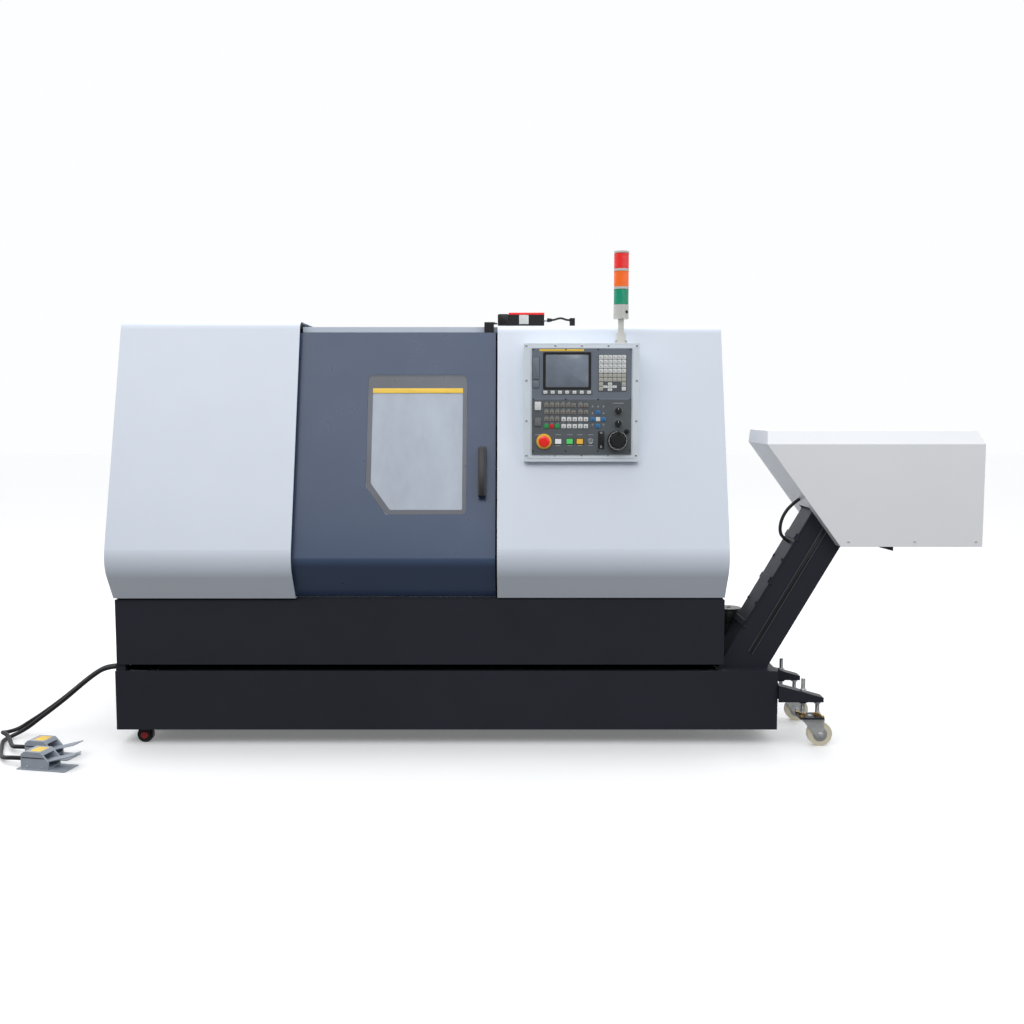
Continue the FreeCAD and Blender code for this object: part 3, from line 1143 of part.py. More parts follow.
def make_hood(motor):
    """Conveyor hood: a bevelled sheet cover with the casing's way in and the mouth above the chute."""
    outline = [(D.hood_left, D.hood_shoulder), (D.hood_low_left, D.hood_bottom),
               (D.hood_right, D.hood_bottom), (D.hood_right, D.hood_shoulder)]
    front, back = D.hood_front, D.hood_back
    lower = prism("XZ_Plane", outline, front, back, label="hood_lower")
    bevel = D.hood_bevel

    def roof(inset, label):
        low = D.hood_shoulder - inset
        top = D.hood_top - inset
        section = [(front + inset, low - 1), (front + inset, low), (front + inset + bevel, top),
                   (back - inset, top), (back - inset, low - 1)]
        near, far = D.hood_left + inset, D.hood_right - inset
        side = [(near, low - 2), (near, low), (near + D.hood_end_in, top), (far - D.hood_far_in, top),
                (far, low), (far, low - 2)]
        across = prism("YZ_Plane", section, D.hood_left - 5, D.hood_right + 5, label=f"{label}_across")
        along = prism("XZ_Plane", side, front - 5, back + 5, label=f"{label}_along")
        return common(across, along)

    wall = D.hood_sheet
    slant = wall * 1.25
    inside = [(D.hood_left + slant, D.hood_shoulder + 1), (D.hood_left + slant, D.hood_shoulder),
              (D.hood_low_left + slant, D.hood_bottom + wall), (D.hood_right - wall, D.hood_bottom + wall),
              (D.hood_right - wall, D.hood_shoulder + 1)]
    hollow = prism("XZ_Plane", inside, front + wall, back - wall, label="hood_hollow")
    casing_front = D.conveyor_front
    casing_back = D.conveyor_front + D.conveyor_width
    clear = D.hood_clear
    entry = [incline_point(size(600), -clear), incline_point(D.incline_length, -clear),
             incline_point(D.incline_length, D.conveyor_thick + 10 + clear),
             incline_point(size(600), D.conveyor_thick + 10 + clear)]
    way_in = prism("XZ_Plane", entry, casing_front, casing_back, label="way_in")
    chute_left, chute_right = D.chute_x, D.chute_x + D.chute_wide
    mouth = box(chute_left + wall, chute_right - wall, casing_front + wall, casing_back - wall,
                D.hood_bottom - 1, D.hood_bottom + wall + 1)
    shell = cut(fuse(lower, roof(size(0), "roof")), fuse(hollow, roof(wall, "roof_hollow")), way_in, mouth)
    keep("conveyor_hood", group(shell, motor))


# ---------------------------------------------------------------- hydraulic unit and foot switches


def make_power_unit():
    """Hydraulic unit behind the base: an oil tank on feet, and a motor with its pump on top."""
    left, right = D.power_left, D.power_left + D.power_width
    front, back = D.power_front, D.power_front + D.power_depth
    low, high = D.power_feet, D.power_feet + D.power_high
    tank = cut(box(left, right, front, back, low, high),
               box(left + D.power_wall, right - D.power_wall, front + D.power_wall, back - D.power_wall,
                   low + D.power_wall, high - D.power_wall))
    blocks = [
        box(x, x + 50, y, y + 50, 0, low)
        for x in (left + 20, right - 70)
        for y in (front + 20, back - 70)
    ]
    middle = (front + back) / 2
    radius = D.power_motor
    motor = cylinder("x", radius, left + 60, left + 330, middle, high + radius + 12)
    cradle = box(left + 100, left + 290, middle - 55, middle + 55, high - 1, high + 40)
    pump = cylinder("x", radius * 0.6, left + 329, left + 430, middle, high + radius + 12)
    manifold = box(left + 455, right - 30, middle - 50, middle + 50, high - 1, high + 130)
    filler = cylinder("z", 24, high - 1, high + 40, left + 35, front + 45)
    keep("hydraulic_unit", fuse(tank, motor, cradle, pump, manifold, filler, *blocks))


def pedal_parts():
    """One foot switch in its own axes: its floor plate and housing, and its tread."""
    long, across = D.pedal_plate_long / 2, D.pedal_plate_wide / 2
    plate = box(-long, long, -across, across, 0, D.pedal_plate)
    wide = D.housing_wide / 2
    left, right, top = D.housing_left, D.housing_right, D.housing_high
    outline = [(left, D.pedal_plate), (left, top - 12), (left + 14, top), (right - 34, top), (right, 34),
               (right, D.pedal_plate)]
    shell = prism("XZ_Plane", outline, -wide, wide, label="housing")
    wall = 4
    mouth = box(D.pivot_x - 16, right + 1, wall * 2 - wide, wide - wall * 2, 12, top - 12)
    bore = cylinder("y", D.pivot_radius + D.fit, 3 - wide, wide - 3, D.pivot_x, D.pivot_z)
    gland = cylinder("x", D.gland_radius, left - D.gland_long, left + 1, 0, D.gland_z)
    casting = fuse(cut(shell, mouth, bore), gland)
    half = wide - wall * 2 - 1
    rod = cylinder("y", D.pivot_radius, 3.5 - wide, wide - 3.5, D.pivot_x, D.pivot_z)
    thick = D.lever_thick
    arm = [(D.pivot_x - 8, D.pivot_z - 4), (D.tread_left, D.tread_low - 8), (D.tread_right, D.tread_high),
           (D.tread_right - 2, D.tread_high + thick), (D.tread_left - 4, D.tread_low - 8 + thick),
           (D.pivot_x - 8, D.pivot_z + 4)]
    lever = prism("XZ_Plane", arm, -half, half, label="tread")
    return plate, casting, fuse(lever, rod)


def make_pedals():
    """Two foot switches on the floor, each turned a little from the machine's front."""
    plate, casting, tread = pedal_parts()
    housings = []
    spots = (("front", D.pedal_front_x, D.pedal_front_y), ("rear", D.pedal_rear_x, D.pedal_rear_y))
    for name, x, y in spots:
        for kind, shape in (("plate", plate), ("casting", casting), ("tread", tread)):
            copy = group(shape, label=f"{kind}_{name}")
            place(copy, x, y, 0)
            turn(copy, (0, 0, 1), D.pedal_turn)
            if kind == "tread":
                keep(f"pedal_tread_{name}", copy)
            else:
                housings.append(copy)
    keep("pedal_housings", group(*housings))


# ---------------------------------------------------------------- cables


def cord(name, points, radius):
    """A tube along straight runs joined by tangent arcs, each as large as its two runs allow."""
    corners = [Vector(*point) for point in points]
    edges = []
    at = corners[0]
    smallest = None
    for before, corner, after in zip(corners, corners[1:], corners[2:]):
        incoming, outgoing = corner - before, after - corner
        turned = incoming.getAngle(outgoing)
        reach = 0.45 * min(incoming.Length, outgoing.Length)
        bend = reach / math.tan(turned / 2)
        smallest = bend if smallest is None else min(smallest, bend)
        start = corner - incoming / incoming.Length * reach
        end = corner + outgoing / outgoing.Length * reach
        inward = outgoing / outgoing.Length - incoming / incoming.Length
        inward.normalize()
        middle = corner + inward * (bend / math.cos(turned / 2) - bend)
        edges.append(Part.LineSegment(at, start).toShape())
        edges.append(Part.Arc(start, middle, end).toShape())
        at = end
    edges.append(Part.LineSegment(at, corners[-1]).toShape())
    path = Part.Wire(edges)
    first = corners[1] - corners[0]
    section = Part.Wire([Part.Circle(corners[0], first, radius).toShape()])
    tube = path.makePipeShell([section], True, False)
    expected = math.pi * radius ** 2 * path.Length
    if abs(tube.Volume / expected - 1) > 0.01:
        raise RuntimeError(f"{name}: its tube's volume is {tube.Volume:.0f}, not {expected:.0f}")
    print(f"{name}: {path.Length:.0f} mm long, smallest bend radius {smallest:.0f} mm")
    obj = new("Part::Feature", name)
    obj.Shape = tube
    obj.Placement = FreeCAD.Placement()
    keep(name, obj)


LEAD_FRONT = [
    (-1258, -875, 327), (-1304, -874, 323), (-1358, -866, 290), (-1424, -850, 238), (-1496, -830, 178),
    (-1568, -808, 124), (-1628, -790, 80), (-1672, -781, 46), (-1706, -787, 26), (-1733, -808, 14),
    (-1747, -840, 9), (-1744, -876, 8.5), (-1726, -922, 8.5), (-1704, -976, 8.5), (-1682, -1032, 8.5),
    (-1654, -1082, 10), (-1622, -1124, 19), (-1579.7, -1154, 29), (-1528.8, -1164.8, 30),
]
LEAD_REAR = [
    (-1258, -850, 327), (-1304, -849, 325), (-1360, -840, 295), (-1428, -820, 243), (-1502, -794, 184),
    (-1576, -766, 130), (-1642, -742, 84), (-1696, -728, 50), (-1730, -734, 28), (-1755, -753.5, 20),
    (-1769.5, -781.5, 22), (-1771, -812.5, 30), (-1759, -841, 38), (-1736, -862, 38), (-1710, -889, 30),
    (-1687, -928, 20), (-1660, -972, 18), (-1626.7, -1008, 28), (-1575.8, -1018.8, 30),
]
LEAD_CONVEYOR = [
    (1582.7, -760, 1014.5), (1556, -760, 994.9), (1528, -761, 966), (1508, -762, 928), (1501, -762, 886),
    (1512, -761, 852.5), (1541.4, -760, 835),
]
LEAD_SWITCH = [
    (540, -640, 1764), (556, -640, 1764.5), (573, -641, 1771), (590, -641.5, 1772), (606, -640, 1765),
    (622, -640, 1764),
]


def make_cords():
    """The foot switches' two leads, the conveyor's cable and the door switch's cable."""
    cord("pedal_cable_front", LEAD_FRONT, D.cord_radius.value)
    cord("pedal_cable_rear", LEAD_REAR, D.cord_radius.value)
    cord("conveyor_cable", LEAD_CONVEYOR, D.hose_radius.value)
    cord("switch_cable", LEAD_SWITCH, D.lead_radius.value)


def write_parts():
    """Checks every object and sub-part, then writes each sub-part to its own file."""
    doc.recompute()
    faults = [obj.Label for obj in doc.Objects if "Invalid" in obj.State or "Error" in obj.State]
    faults += [name for name, obj in PARTS.items() if obj.Shape.isNull() or not obj.Shape.isValid()]
    if faults:
        raise RuntimeError("failed: " + ", ".join(faults))
    for name, obj in PARTS.items():
        obj.Shape.exportStep(f"parts/{name}.step")
    print(len(PARTS), "sub-parts written")


make_base()
make_feet()
make_bed()
make_spindle_line()
make_drives()
make_carriage()
make_tailstock()
make_enclosure()
make_door()
make_cabinet()
make_console()
make_tower()
make_door_switch()
make_tank()
make_outriggers()
make_conveyor()
make_power_unit()
make_pedals()
make_cords()
write_parts()
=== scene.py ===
import math
import bmesh
import bpy
from mathutils import Matrix, Vector


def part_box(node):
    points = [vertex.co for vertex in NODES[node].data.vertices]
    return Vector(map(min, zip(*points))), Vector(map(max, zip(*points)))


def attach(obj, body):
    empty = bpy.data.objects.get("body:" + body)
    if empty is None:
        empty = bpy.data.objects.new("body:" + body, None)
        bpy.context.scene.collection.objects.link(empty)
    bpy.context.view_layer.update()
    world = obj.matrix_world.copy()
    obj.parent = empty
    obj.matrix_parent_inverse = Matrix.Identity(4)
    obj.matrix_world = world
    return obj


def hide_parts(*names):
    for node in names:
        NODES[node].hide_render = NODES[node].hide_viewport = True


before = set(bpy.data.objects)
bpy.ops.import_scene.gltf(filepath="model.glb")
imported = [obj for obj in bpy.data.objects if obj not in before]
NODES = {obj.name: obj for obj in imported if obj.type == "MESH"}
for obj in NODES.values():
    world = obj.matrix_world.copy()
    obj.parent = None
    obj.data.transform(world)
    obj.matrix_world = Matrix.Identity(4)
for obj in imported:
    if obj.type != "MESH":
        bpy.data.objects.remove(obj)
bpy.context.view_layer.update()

MM = 0.001


# ---- camera, floor and light


def link(item):
    bpy.context.scene.collection.objects.link(item)
    return item


def area_light(name, place, target, size, power, colour=(1, 1, 1)):
    data = bpy.data.lights.new(name, "AREA")
    data.shape = "RECTANGLE"
    data.size, data.size_y = size
    data.energy = power
    data.color = colour
    lamp = link(bpy.data.objects.new(name, data))
    lamp.location = place
    lamp.rotation_euler = (Vector(target) - Vector(place)).to_track_quat("-Z", "Y").to_euler()
    return lamp


def studio():
    camera_data = bpy.data.cameras.new("camera")
    camera_data.lens = 39.4
    camera_data.sensor_width = 36
    camera = link(bpy.data.objects.new("camera", camera_data))
    camera.location = (0.378, -5.44, 1.385)
    camera.rotation_euler = (math.radians(84.8), 0, 0)
    bpy.context.scene.camera = camera

    world = bpy.data.worlds.new("studio")
    world.use_nodes = True
    tree = world.node_tree
    sky = tree.nodes["Background"]
    coords = tree.nodes.new("ShaderNodeTexCoord")
    lean = tree.nodes.new("ShaderNodeVectorMath")
    lean.operation = "DOT_PRODUCT"
    lean.inputs[1].default_value = (0, 0.8, 1.2)
    fade = tree.nodes.new("ShaderNodeMapRange")
    fade.inputs["From Min"].default_value = -0.35
    fade.inputs["From Max"].default_value = 0.65
    fade.inputs["To Min"].default_value = 0.24
    fade.inputs["To Max"].default_value = 1
    tree.links.new(coords.outputs["Generated"], lean.inputs[0])
    tree.links.new(lean.outputs["Value"], fade.inputs["Value"])
    tree.links.new(fade.outputs["Result"], sky.inputs["Strength"])
    sky.inputs["Color"].default_value = (0.985, 0.992, 1, 1)
    bpy.context.scene.world = world
    bpy.context.scene.view_settings.view_transform = "Standard"

    area_light("key", (-1.4, -6.2, 5.6), (0.4, -0.4, 0.9), (7, 3.6), 190, (0.97, 0.985, 1))
    area_light("fill", (3.6, -4.2, 3), (0.6, -0.4, 0.8), (3, 2.6), 34, (0.95, 0.975, 1))
    area_light("top", (0.2, 0.4, 5.6), (0.2, 0, 0), (5, 3), 120, (0.96, 0.98, 1))
    area_light("rear", (0.6, 5, 3.6), (0.2, 0.4, 0.8), (3.6, 2.2), 60, (1, 1, 1))

    bm = bmesh.new()
    bmesh.ops.create_grid(bm, x_segments=1, y_segments=1, size=30)
    mesh = bpy.data.meshes.new("floor")
    bm.to_mesh(mesh)
    bm.free()
    floor = link(bpy.data.objects.new("floor", mesh))
    floor.location = (0, 0, -0.0005)
    floor.visible_diffuse = False
    floor.visible_glossy = False
    return floor


FLOOR = studio()


# ---- materials


def tree_of(name):
    material = bpy.data.materials.new(name)
    material.use_nodes = True
    tree = material.node_tree
    return material, tree, tree.nodes["Principled BSDF"]


def add(tree, kind, **values):
    node = tree.nodes.new(kind)
    for key, value in values.items():
        if hasattr(node, key):
            setattr(node, key, value)
        else:
            node.inputs[key.replace("_", " ").title()].default_value = value
    return node


def noise(tree, scale, detail=3, stretch=None, rough=0.55):
    coords = add(tree, "ShaderNodeTexCoord")
    texture = add(tree, "ShaderNodeTexNoise", scale=scale, detail=detail, roughness=rough)
    source = coords.outputs["Object"]
    if stretch:
        mapping = add(tree, "ShaderNodeMapping")
        mapping.inputs["Scale"].default_value = stretch
        tree.links.new(source, mapping.inputs["Vector"])
        source = mapping.outputs["Vector"]
    tree.links.new(source, texture.inputs["Vector"])
    return texture.outputs["Fac"]


def ramp(tree, factor, stops):
    node = add(tree, "ShaderNodeValToRGB")
    elements = node.color_ramp.elements
    while len(elements) < len(stops):
        elements.new(0.5)
    for element, (at, colour) in zip(elements, stops):
        element.position = at
        element.color = (*colour[:3], 1)
    tree.links.new(factor, node.inputs["Fac"])
    return node.outputs["Color"]


def shade(colour, factor):
    return tuple(min(1, max(0, c * factor)) for c in colour[:3])


def surface(name, colour, rough=0.4, metal=0, coat=0, mottle=0.06, mottle_scale=4, grain=900,
            bump=0.05, distance=0.0004, spread=0.08, stretch=None, edge=0.0012, specular=0.5, dirt=0):
    """A painted, cast, brushed or moulded surface: broad colour drift, fine grain and soft edges."""
    material, tree, bsdf = tree_of(name)
    drift = noise(tree, mottle_scale, 4, stretch)
    base = ramp(tree, drift, [(0.3, shade(colour, 1 - mottle)), (0.7, shade(colour, 1 + mottle))])
    if dirt:
        stain = noise(tree, mottle_scale * 7, 6, stretch, 0.7)
        mask = ramp(tree, stain, [(0.55, (0, 0, 0)), (0.75, (dirt, dirt, dirt))])
        mix = add(tree, "ShaderNodeMix", data_type="RGBA")
        tree.links.new(mask, mix.inputs["Factor"])
        tree.links.new(base, mix.inputs[6])
        mix.inputs[7].default_value = (*shade(colour, 0.45), 1)
        base = mix.outputs[2]
    tree.links.new(base, bsdf.inputs["Base Color"])
    wear = add(tree, "ShaderNodeMapRange")
    wear.inputs["To Min"].default_value = max(0.02, rough - spread)
    wear.inputs["To Max"].default_value = min(1, rough + spread)
    tree.links.new(noise(tree, mottle_scale * 5, 5, stretch), wear.inputs["Value"])
    tree.links.new(wear.outputs["Result"], bsdf.inputs["Roughness"])
    bumper = add(tree, "ShaderNodeBump")
    bumper.inputs["Strength"].default_value = bump
    bumper.inputs["Distance"].default_value = distance
    tree.links.new(noise(tree, grain, 2, stretch), bumper.inputs["Height"])
    if edge:
        soft = add(tree, "ShaderNodeBevel")
        soft.samples = 4
        soft.inputs["Radius"].default_value = edge
        tree.links.new(soft.outputs["Normal"], bumper.inputs["Normal"])
    tree.links.new(bumper.outputs["Normal"], bsdf.inputs["Normal"])
    bsdf.inputs["Metallic"].default_value = metal
    bsdf.inputs["Specular IOR Level"].default_value = specular
    bsdf.inputs["Coat Weight"].default_value = coat
    bsdf.inputs["Coat Roughness"].default_value = 0.12
    return material


def glowing(name, colour, strength, rough=0.25):
    """A coloured lens or lamp cap: moulded plastic that lets a little light through and glows faintly by
    itself; on parts with no lamp in them this glow is painted light.
    """
    material = surface(name, colour, rough=rough, mottle=0.08, mottle_scale=30, bump=0.02,
                       edge=0.0006, coat=0.4)
    bsdf = material.node_tree.nodes["Principled BSDF"]
    bsdf.inputs["Emission Color"].default_value = (*colour, 1)
    bsdf.inputs["Emission Strength"].default_value = strength
    bsdf.inputs["Subsurface Weight"].default_value = 0.25
    bsdf.inputs["Subsurface Radius"].default_value = (0.01, 0.01, 0.01)
    return material


def pane(name, reflection_tint, alpha):
    """Laminated safety glass whose pale colour is a painted reflection, lighter and darker in faint
    streaks.
    """
    material, tree, bsdf = tree_of(name)
    marks = noise(tree, 3.5, 6, (1, 1, 0.35), 0.65)
    base = ramp(tree, marks, [(0.35, shade(reflection_tint, 0.86)), (0.68, shade(reflection_tint, 1.1))])
    tree.links.new(base, bsdf.inputs["Base Color"])
    cloud = add(tree, "ShaderNodeMapRange")
    cloud.inputs["To Min"].default_value = alpha - 0.08
    cloud.inputs["To Max"].default_value = min(1, alpha + 0.14)
    tree.links.new(noise(tree, 5, 5, (1, 1, 0.5)), cloud.inputs["Value"])
    tree.links.new(cloud.outputs["Result"], bsdf.inputs["Alpha"])
    bsdf.inputs["Roughness"].default_value = 0.06
    bsdf.inputs["IOR"].default_value = 1.5
    bsdf.inputs["Coat Weight"].default_value = 0.6
    bsdf.inputs["Coat Roughness"].default_value = 0.03
    return material


# Each look: key, name, colour, roughness, mottle, its scale, grain, bump and the rest.
LOOKS = (
    ("charcoal", "charcoal_paint", (0.0205, 0.0225, 0.0325), 0.46, 0.1, 2.5, 420, 0.22,
     dict(distance=0.0005, specular=0.3, coat=0)),
    ("white", "white_paint", (0.69, 0.745, 0.835), 0.36, 0.018, 1.6, 700, 0.05,
     dict(coat=0.12, edge=0.002)),
    ("hood", "hood_paint", (0.87, 0.88, 0.905), 0.38, 0.02, 2, 600, 0.06, dict(coat=0.1, edge=0.0016)),
    ("door", "door_paint", (0.046, 0.074, 0.142), 0.3, 0.06, 1.8, 600, 0.07,
     dict(coat=0.1, edge=0.002, specular=0.4)),
    ("black", "black_plastic", (0.012, 0.012, 0.013), 0.38, 0.1, 20, 1400, 0.06, {}),
    ("gasket", "black_rubber", (0.01, 0.01, 0.011), 0.62, 0.12, 15, 1200, 0.1, {}),
    ("cord", "cord_sheath", (0.01, 0.01, 0.012), 0.48, 0.15, 25, 800, 0.15, dict(edge=0)),
    ("iron", "painted_casting", (0.115, 0.125, 0.13), 0.55, 0.1, 6, 160, 0.35,
     dict(distance=0.0012, dirt=0.35)),
    ("steel", "machined_steel", (0.56, 0.57, 0.58), 0.27, 0.06, 8, 260, 0.05,
     dict(metal=1, stretch=(0.08, 1, 1))),
    ("ground", "ground_steel", (0.66, 0.67, 0.69), 0.16, 0.04, 10, 400, 0.03, dict(metal=1)),
    ("zinc", "zinc_plate", (0.68, 0.69, 0.69), 0.36, 0.16, 45, 300, 0.08, dict(metal=0.7, edge=0.0008)),
    ("guard", "brushed_guard", (0.5, 0.51, 0.52), 0.36, 0.08, 3, 500, 0.08,
     dict(metal=1, stretch=(1, 1, 0.05))),
    ("bezel", "console_paint", (0.76, 0.82, 0.88), 0.4, 0.03, 8, 900, 0.09, dict(coat=0.08)),
    ("panel", "panel_film", (0.108, 0.124, 0.136), 0.45, 0.06, 12, 1500, 0.04, dict(edge=0.0005)),
    ("unit", "display_film", (0.165, 0.19, 0.228), 0.42, 0.05, 12, 1500, 0.04, dict(edge=0.0005)),
    ("nylon", "cast_nylon", (0.8, 0.735, 0.56), 0.42, 0.07, 18, 300, 0.06, dict(dirt=0.2)),
    ("motor", "motor_paint", (0.018, 0.018, 0.02), 0.4, 0.1, 9, 300, 0.12, dict(coat=0.1)),
    ("cabinet", "cabinet_paint", (0.6, 0.62, 0.61), 0.42, 0.03, 3, 500, 0.12, {}),
    ("unit_blue", "hydraulic_paint", (0.13, 0.18, 0.22), 0.42, 0.08, 6, 300, 0.12, dict(dirt=0.25)),
    ("pedal", "cast_pedal_paint", (0.36, 0.4, 0.46), 0.46, 0.08, 20, 350, 0.22,
     dict(distance=0.0005, edge=0.0015)),
    ("yellow", "yellow_film", (0.92, 0.6, 0.06), 0.42, 0.05, 25, 1500, 0.03, dict(edge=0.0004)),
    ("mark", "mark_grey", (0.42, 0.43, 0.43), 0.5, 0.03, 60, 1500, 0.02, dict(edge=0)),
    ("mark_dark", "mark_dark", (0.05, 0.05, 0.055), 0.5, 0.05, 60, 1500, 0.02, dict(edge=0)),
    ("screen", "screen_glass", (0.19, 0.225, 0.275), 0.12, 0.25, 7, 200, 0, dict(coat=0.5, edge=0)),
    ("tower", "tower_plastic", (0.62, 0.61, 0.575), 0.4, 0.03, 20, 900, 0.04, dict(coat=0.2)),
    ("red_hub", "red_hub", (0.35, 0.015, 0.015), 0.4, 0.08, 30, 900, 0.05, {}),
    ("brass", "brass_fitting", (0.62, 0.42, 0.15), 0.3, 0.08, 30, 900, 0.05, dict(metal=1, edge=0.0005)),
    ("border", "window_border", (0.07, 0.08, 0.105), 0.3, 0.22, 5, 900, 0.04, dict(coat=0.3, edge=0)),
    ("ridge", "ridge_paint", (0.06, 0.067, 0.085), 0.38, 0.1, 6, 420, 0.1, dict(edge=0)),
    ("label", "bare_plate", (0.52, 0.53, 0.54), 0.35, 0.05, 20, 900, 0.03, dict(metal=0.6, edge=0.0004)),
)
M = {
    # red glows; on the stop head, switch lid and isolator lever, which hold no lamp, the glow is painted
    "red": glowing("red_cap", (0.84, 0.018, 0.016), 0.16),
    "amber": glowing("amber_cap", (0.92, 0.145, 0.004), 0.2),
    "green": glowing("green_cap", (0, 0.3, 0.165), 0.1),
    "lamp_green": glowing("lamp_green", (0.1, 0.62, 0.16), 0.25),
    # white glows; on the dial lines, wheel ticks and sight glasses, which hold no lamp, the glow is painted
    "glow_white": glowing("glow_white", (0.8, 0.82, 0.8), 0.15),
    "lamp_amber": glowing("lamp_amber", (0.88, 0.5, 0.06), 0.2),
    # window glass: the pale, mostly opaque colour is a painted reflection; the coat adds real gloss on top
    "glass": pane("window_glass", (0.47, 0.53, 0.64), 0.72),
}
for key, name, colour, rough, mottle, scale, grain, bump, more in LOOKS:
    M[key] = surface(name, colour, rough=rough, mottle=mottle, mottle_scale=scale, grain=grain,
                     bump=bump, **more)
for key, colour, rough, mottle in (
    ("key_white", (0.74, 0.75, 0.74), 0.42, 0.03),
    ("key_beige", (0.47, 0.46, 0.41), 0.45, 0.04),
    ("key_brown", (0.235, 0.215, 0.195), 0.45, 0.06),
    ("key_blue", (0.035, 0.2, 0.46), 0.4, 0.05),
    ("key_red", (0.6, 0.02, 0.02), 0.4, 0.05),
    ("key_green", (0.02, 0.33, 0.08), 0.4, 0.05),
    ("key_grey", (0.16, 0.165, 0.17), 0.45, 0.05),
):
    M[key] = surface(key, colour, rough=rough, mottle=mottle, mottle_scale=40, grain=1500, bump=0.03,
                     edge=0.0006)

FLOOR.data.materials.append(surface("studio_floor", (0.88, 0.885, 0.89), rough=0.55, mottle=0.01,
                                    mottle_scale=0.6, grain=60, bump=0.01, edge=0))

FLOOR_SHADER = FLOOR.data.materials[0].node_tree.nodes["Principled BSDF"]
FLOOR_SHADER.inputs["Emission Color"].default_value = (1, 1, 1, 1)
FLOOR_SHADER.inputs["Emission Strength"].default_value = 0.16

CAD_LOOKS = {
    "charcoal": "base_frame coolant_tank tank_outriggers conveyor_casing",
    "iron": "levelling_feet slant_bed headstock saddle cross_slide tailstock",
    "motor": "drive_motors coolant_pump",
    "gasket": "drive_belt tank_wheelset",
    "white": "headstock_cover tailstock_cover roof_panel",
    "guard": "splash_guards",
    "cabinet": "cabinet_shell cabinet_door",
    "bezel": "control_box",
    "unit": "display_unit",
    "panel": "operator_panel",
    "tower": "signal_tower",
    "black": "door_switch door_handle feed_knob speed_knob handwheel",
    "hood": "conveyor_hood",
    "zinc": "conveyor_belt caster_fork_front caster_fork_rear",
    "unit_blue": "hydraulic_unit",
    "pedal": "pedal_housings pedal_tread_front pedal_tread_rear",
    "door": "door_panel",
    "glass": "door_window",
    "steel": "spindle chuck_body motor_pulley turret conveyor_head_shaft",
    "ground": "chuck_jaw_1 chuck_jaw_2 chuck_jaw_3 z_ballscrew quill",
    "red": "estop_head",
    "glow_white": "button_reset",
    "lamp_green": "button_start",
    "lamp_amber": "button_hold",
    "nylon": "caster_wheel_front caster_wheel_rear",
}
for look, nodes in CAD_LOOKS.items():
    for node in nodes.split():
        materials = NODES[node].data.materials
        materials.clear()
        materials.append(M[look])


# ---- mesh tools

TIP = 0.0003  # the small radius that closes a turned shape on its axis


def frame_at(origin, right, up):
    """A matrix whose X is right, whose Y is up and whose Z points out of the face they span."""
    right, up = Vector(right).normalized(), Vector(up).normalized()
    out = right.cross(up).normalized()
    matrix = Matrix((right, up, out)).transposed().to_4x4()
    matrix.translation = Vector(origin)
    return matrix


def front_at(x, y, z):
    """A frame on a face that looks at the operator."""
    return frame_at((x, y, z), (1, 0, 0), (0, 0, 1))


def move(step):
    return Matrix.Translation(step)


def turn(angle, axis):
    return Matrix.Rotation(angle, 4, axis)


def lift(matrix, out, right=0, up=0):
    """The same frame moved out of its face, and along it."""
    return matrix @ move((right, up, out))


def loops(bm, rings, close_start=True, close_end=True):
    """Joins rings of points with quads and closes the ends."""
    made = [[bm.verts.new(p) for p in ring] for ring in rings]
    count = len(made[0])
    for first, second in zip(made, made[1:]):
        for i in range(count):
            j = (i + 1) % count
            bm.faces.new((first[i], first[j], second[j], second[i]))
    if close_start:
        bm.faces.new(list(reversed(made[0])))
    if close_end:
        bm.faces.new(made[-1])


def rounded(width, height, radius, steps=4):
    """The points of a rectangle with rounded corners, about its centre."""
    radius = max(1e-5, min(radius, width / 2 - 1e-5, height / 2 - 1e-5))
    points = []
    for number, (sx, sy) in enumerate(((1, 1), (-1, 1), (-1, -1), (1, -1))):
        for step in range(steps + 1):
            angle = math.radians(90 * number + 90 * step / steps)
            points.append((sx * (width / 2 - radius) + radius * math.cos(angle),
                           sy * (height / 2 - radius) + radius * math.sin(angle)))
    return points


def pad(bm, matrix, width, height, thick, radius=0.002, bevel=0.0006):
    """A rounded plate or key cap that stands on the frame's face."""
    rings = []
    levels = [(0, 0), (0, thick - bevel), (bevel * 0.35, thick - bevel * 0.3), (bevel, thick)]
    for inset, level in levels:
        rings.append([matrix @ Vector((x, y, level))
                      for x, y in rounded(width - 2 * inset, height - 2 * inset, radius)])
    loops(bm, rings)


def lathe(bm, matrix, profile, segments=40):
    """A turned shape about the frame's Z from (radius, level) pairs."""
    rings = []
    for radius, level in profile:
        rings.append([matrix @ Vector((radius * math.cos(2 * math.pi * i / segments),
                                       radius * math.sin(2 * math.pi * i / segments), level))
                      for i in range(segments)])
    loops(bm, rings)


def cap_screw(bm, matrix, radius=0.003, high=None, segments=18):
    """A socket cap screw's head with its recess."""
    high = high or radius * 0.7
    lathe(bm, matrix, [(radius, -0.0003), (radius, high * 0.8), (radius * 0.88, high), (radius * 0.5, high),
                       (radius * 0.45, high * 0.45), (radius * 0.02, high * 0.4)], segments)


def hex_bolt(bm, matrix, radius=0.006, high=None):
    """A hexagon head on a washer."""
    high = high or radius * 0.65
    lathe(bm, matrix, [(radius * 1.35, -0.0003), (radius * 1.35, high * 0.22),
                       (radius * 1.3, high * 0.25)], 24)
    lathe(bm, matrix, [(radius, high * 0.2), (radius, high * 0.9), (radius * 0.85, high)], 6)


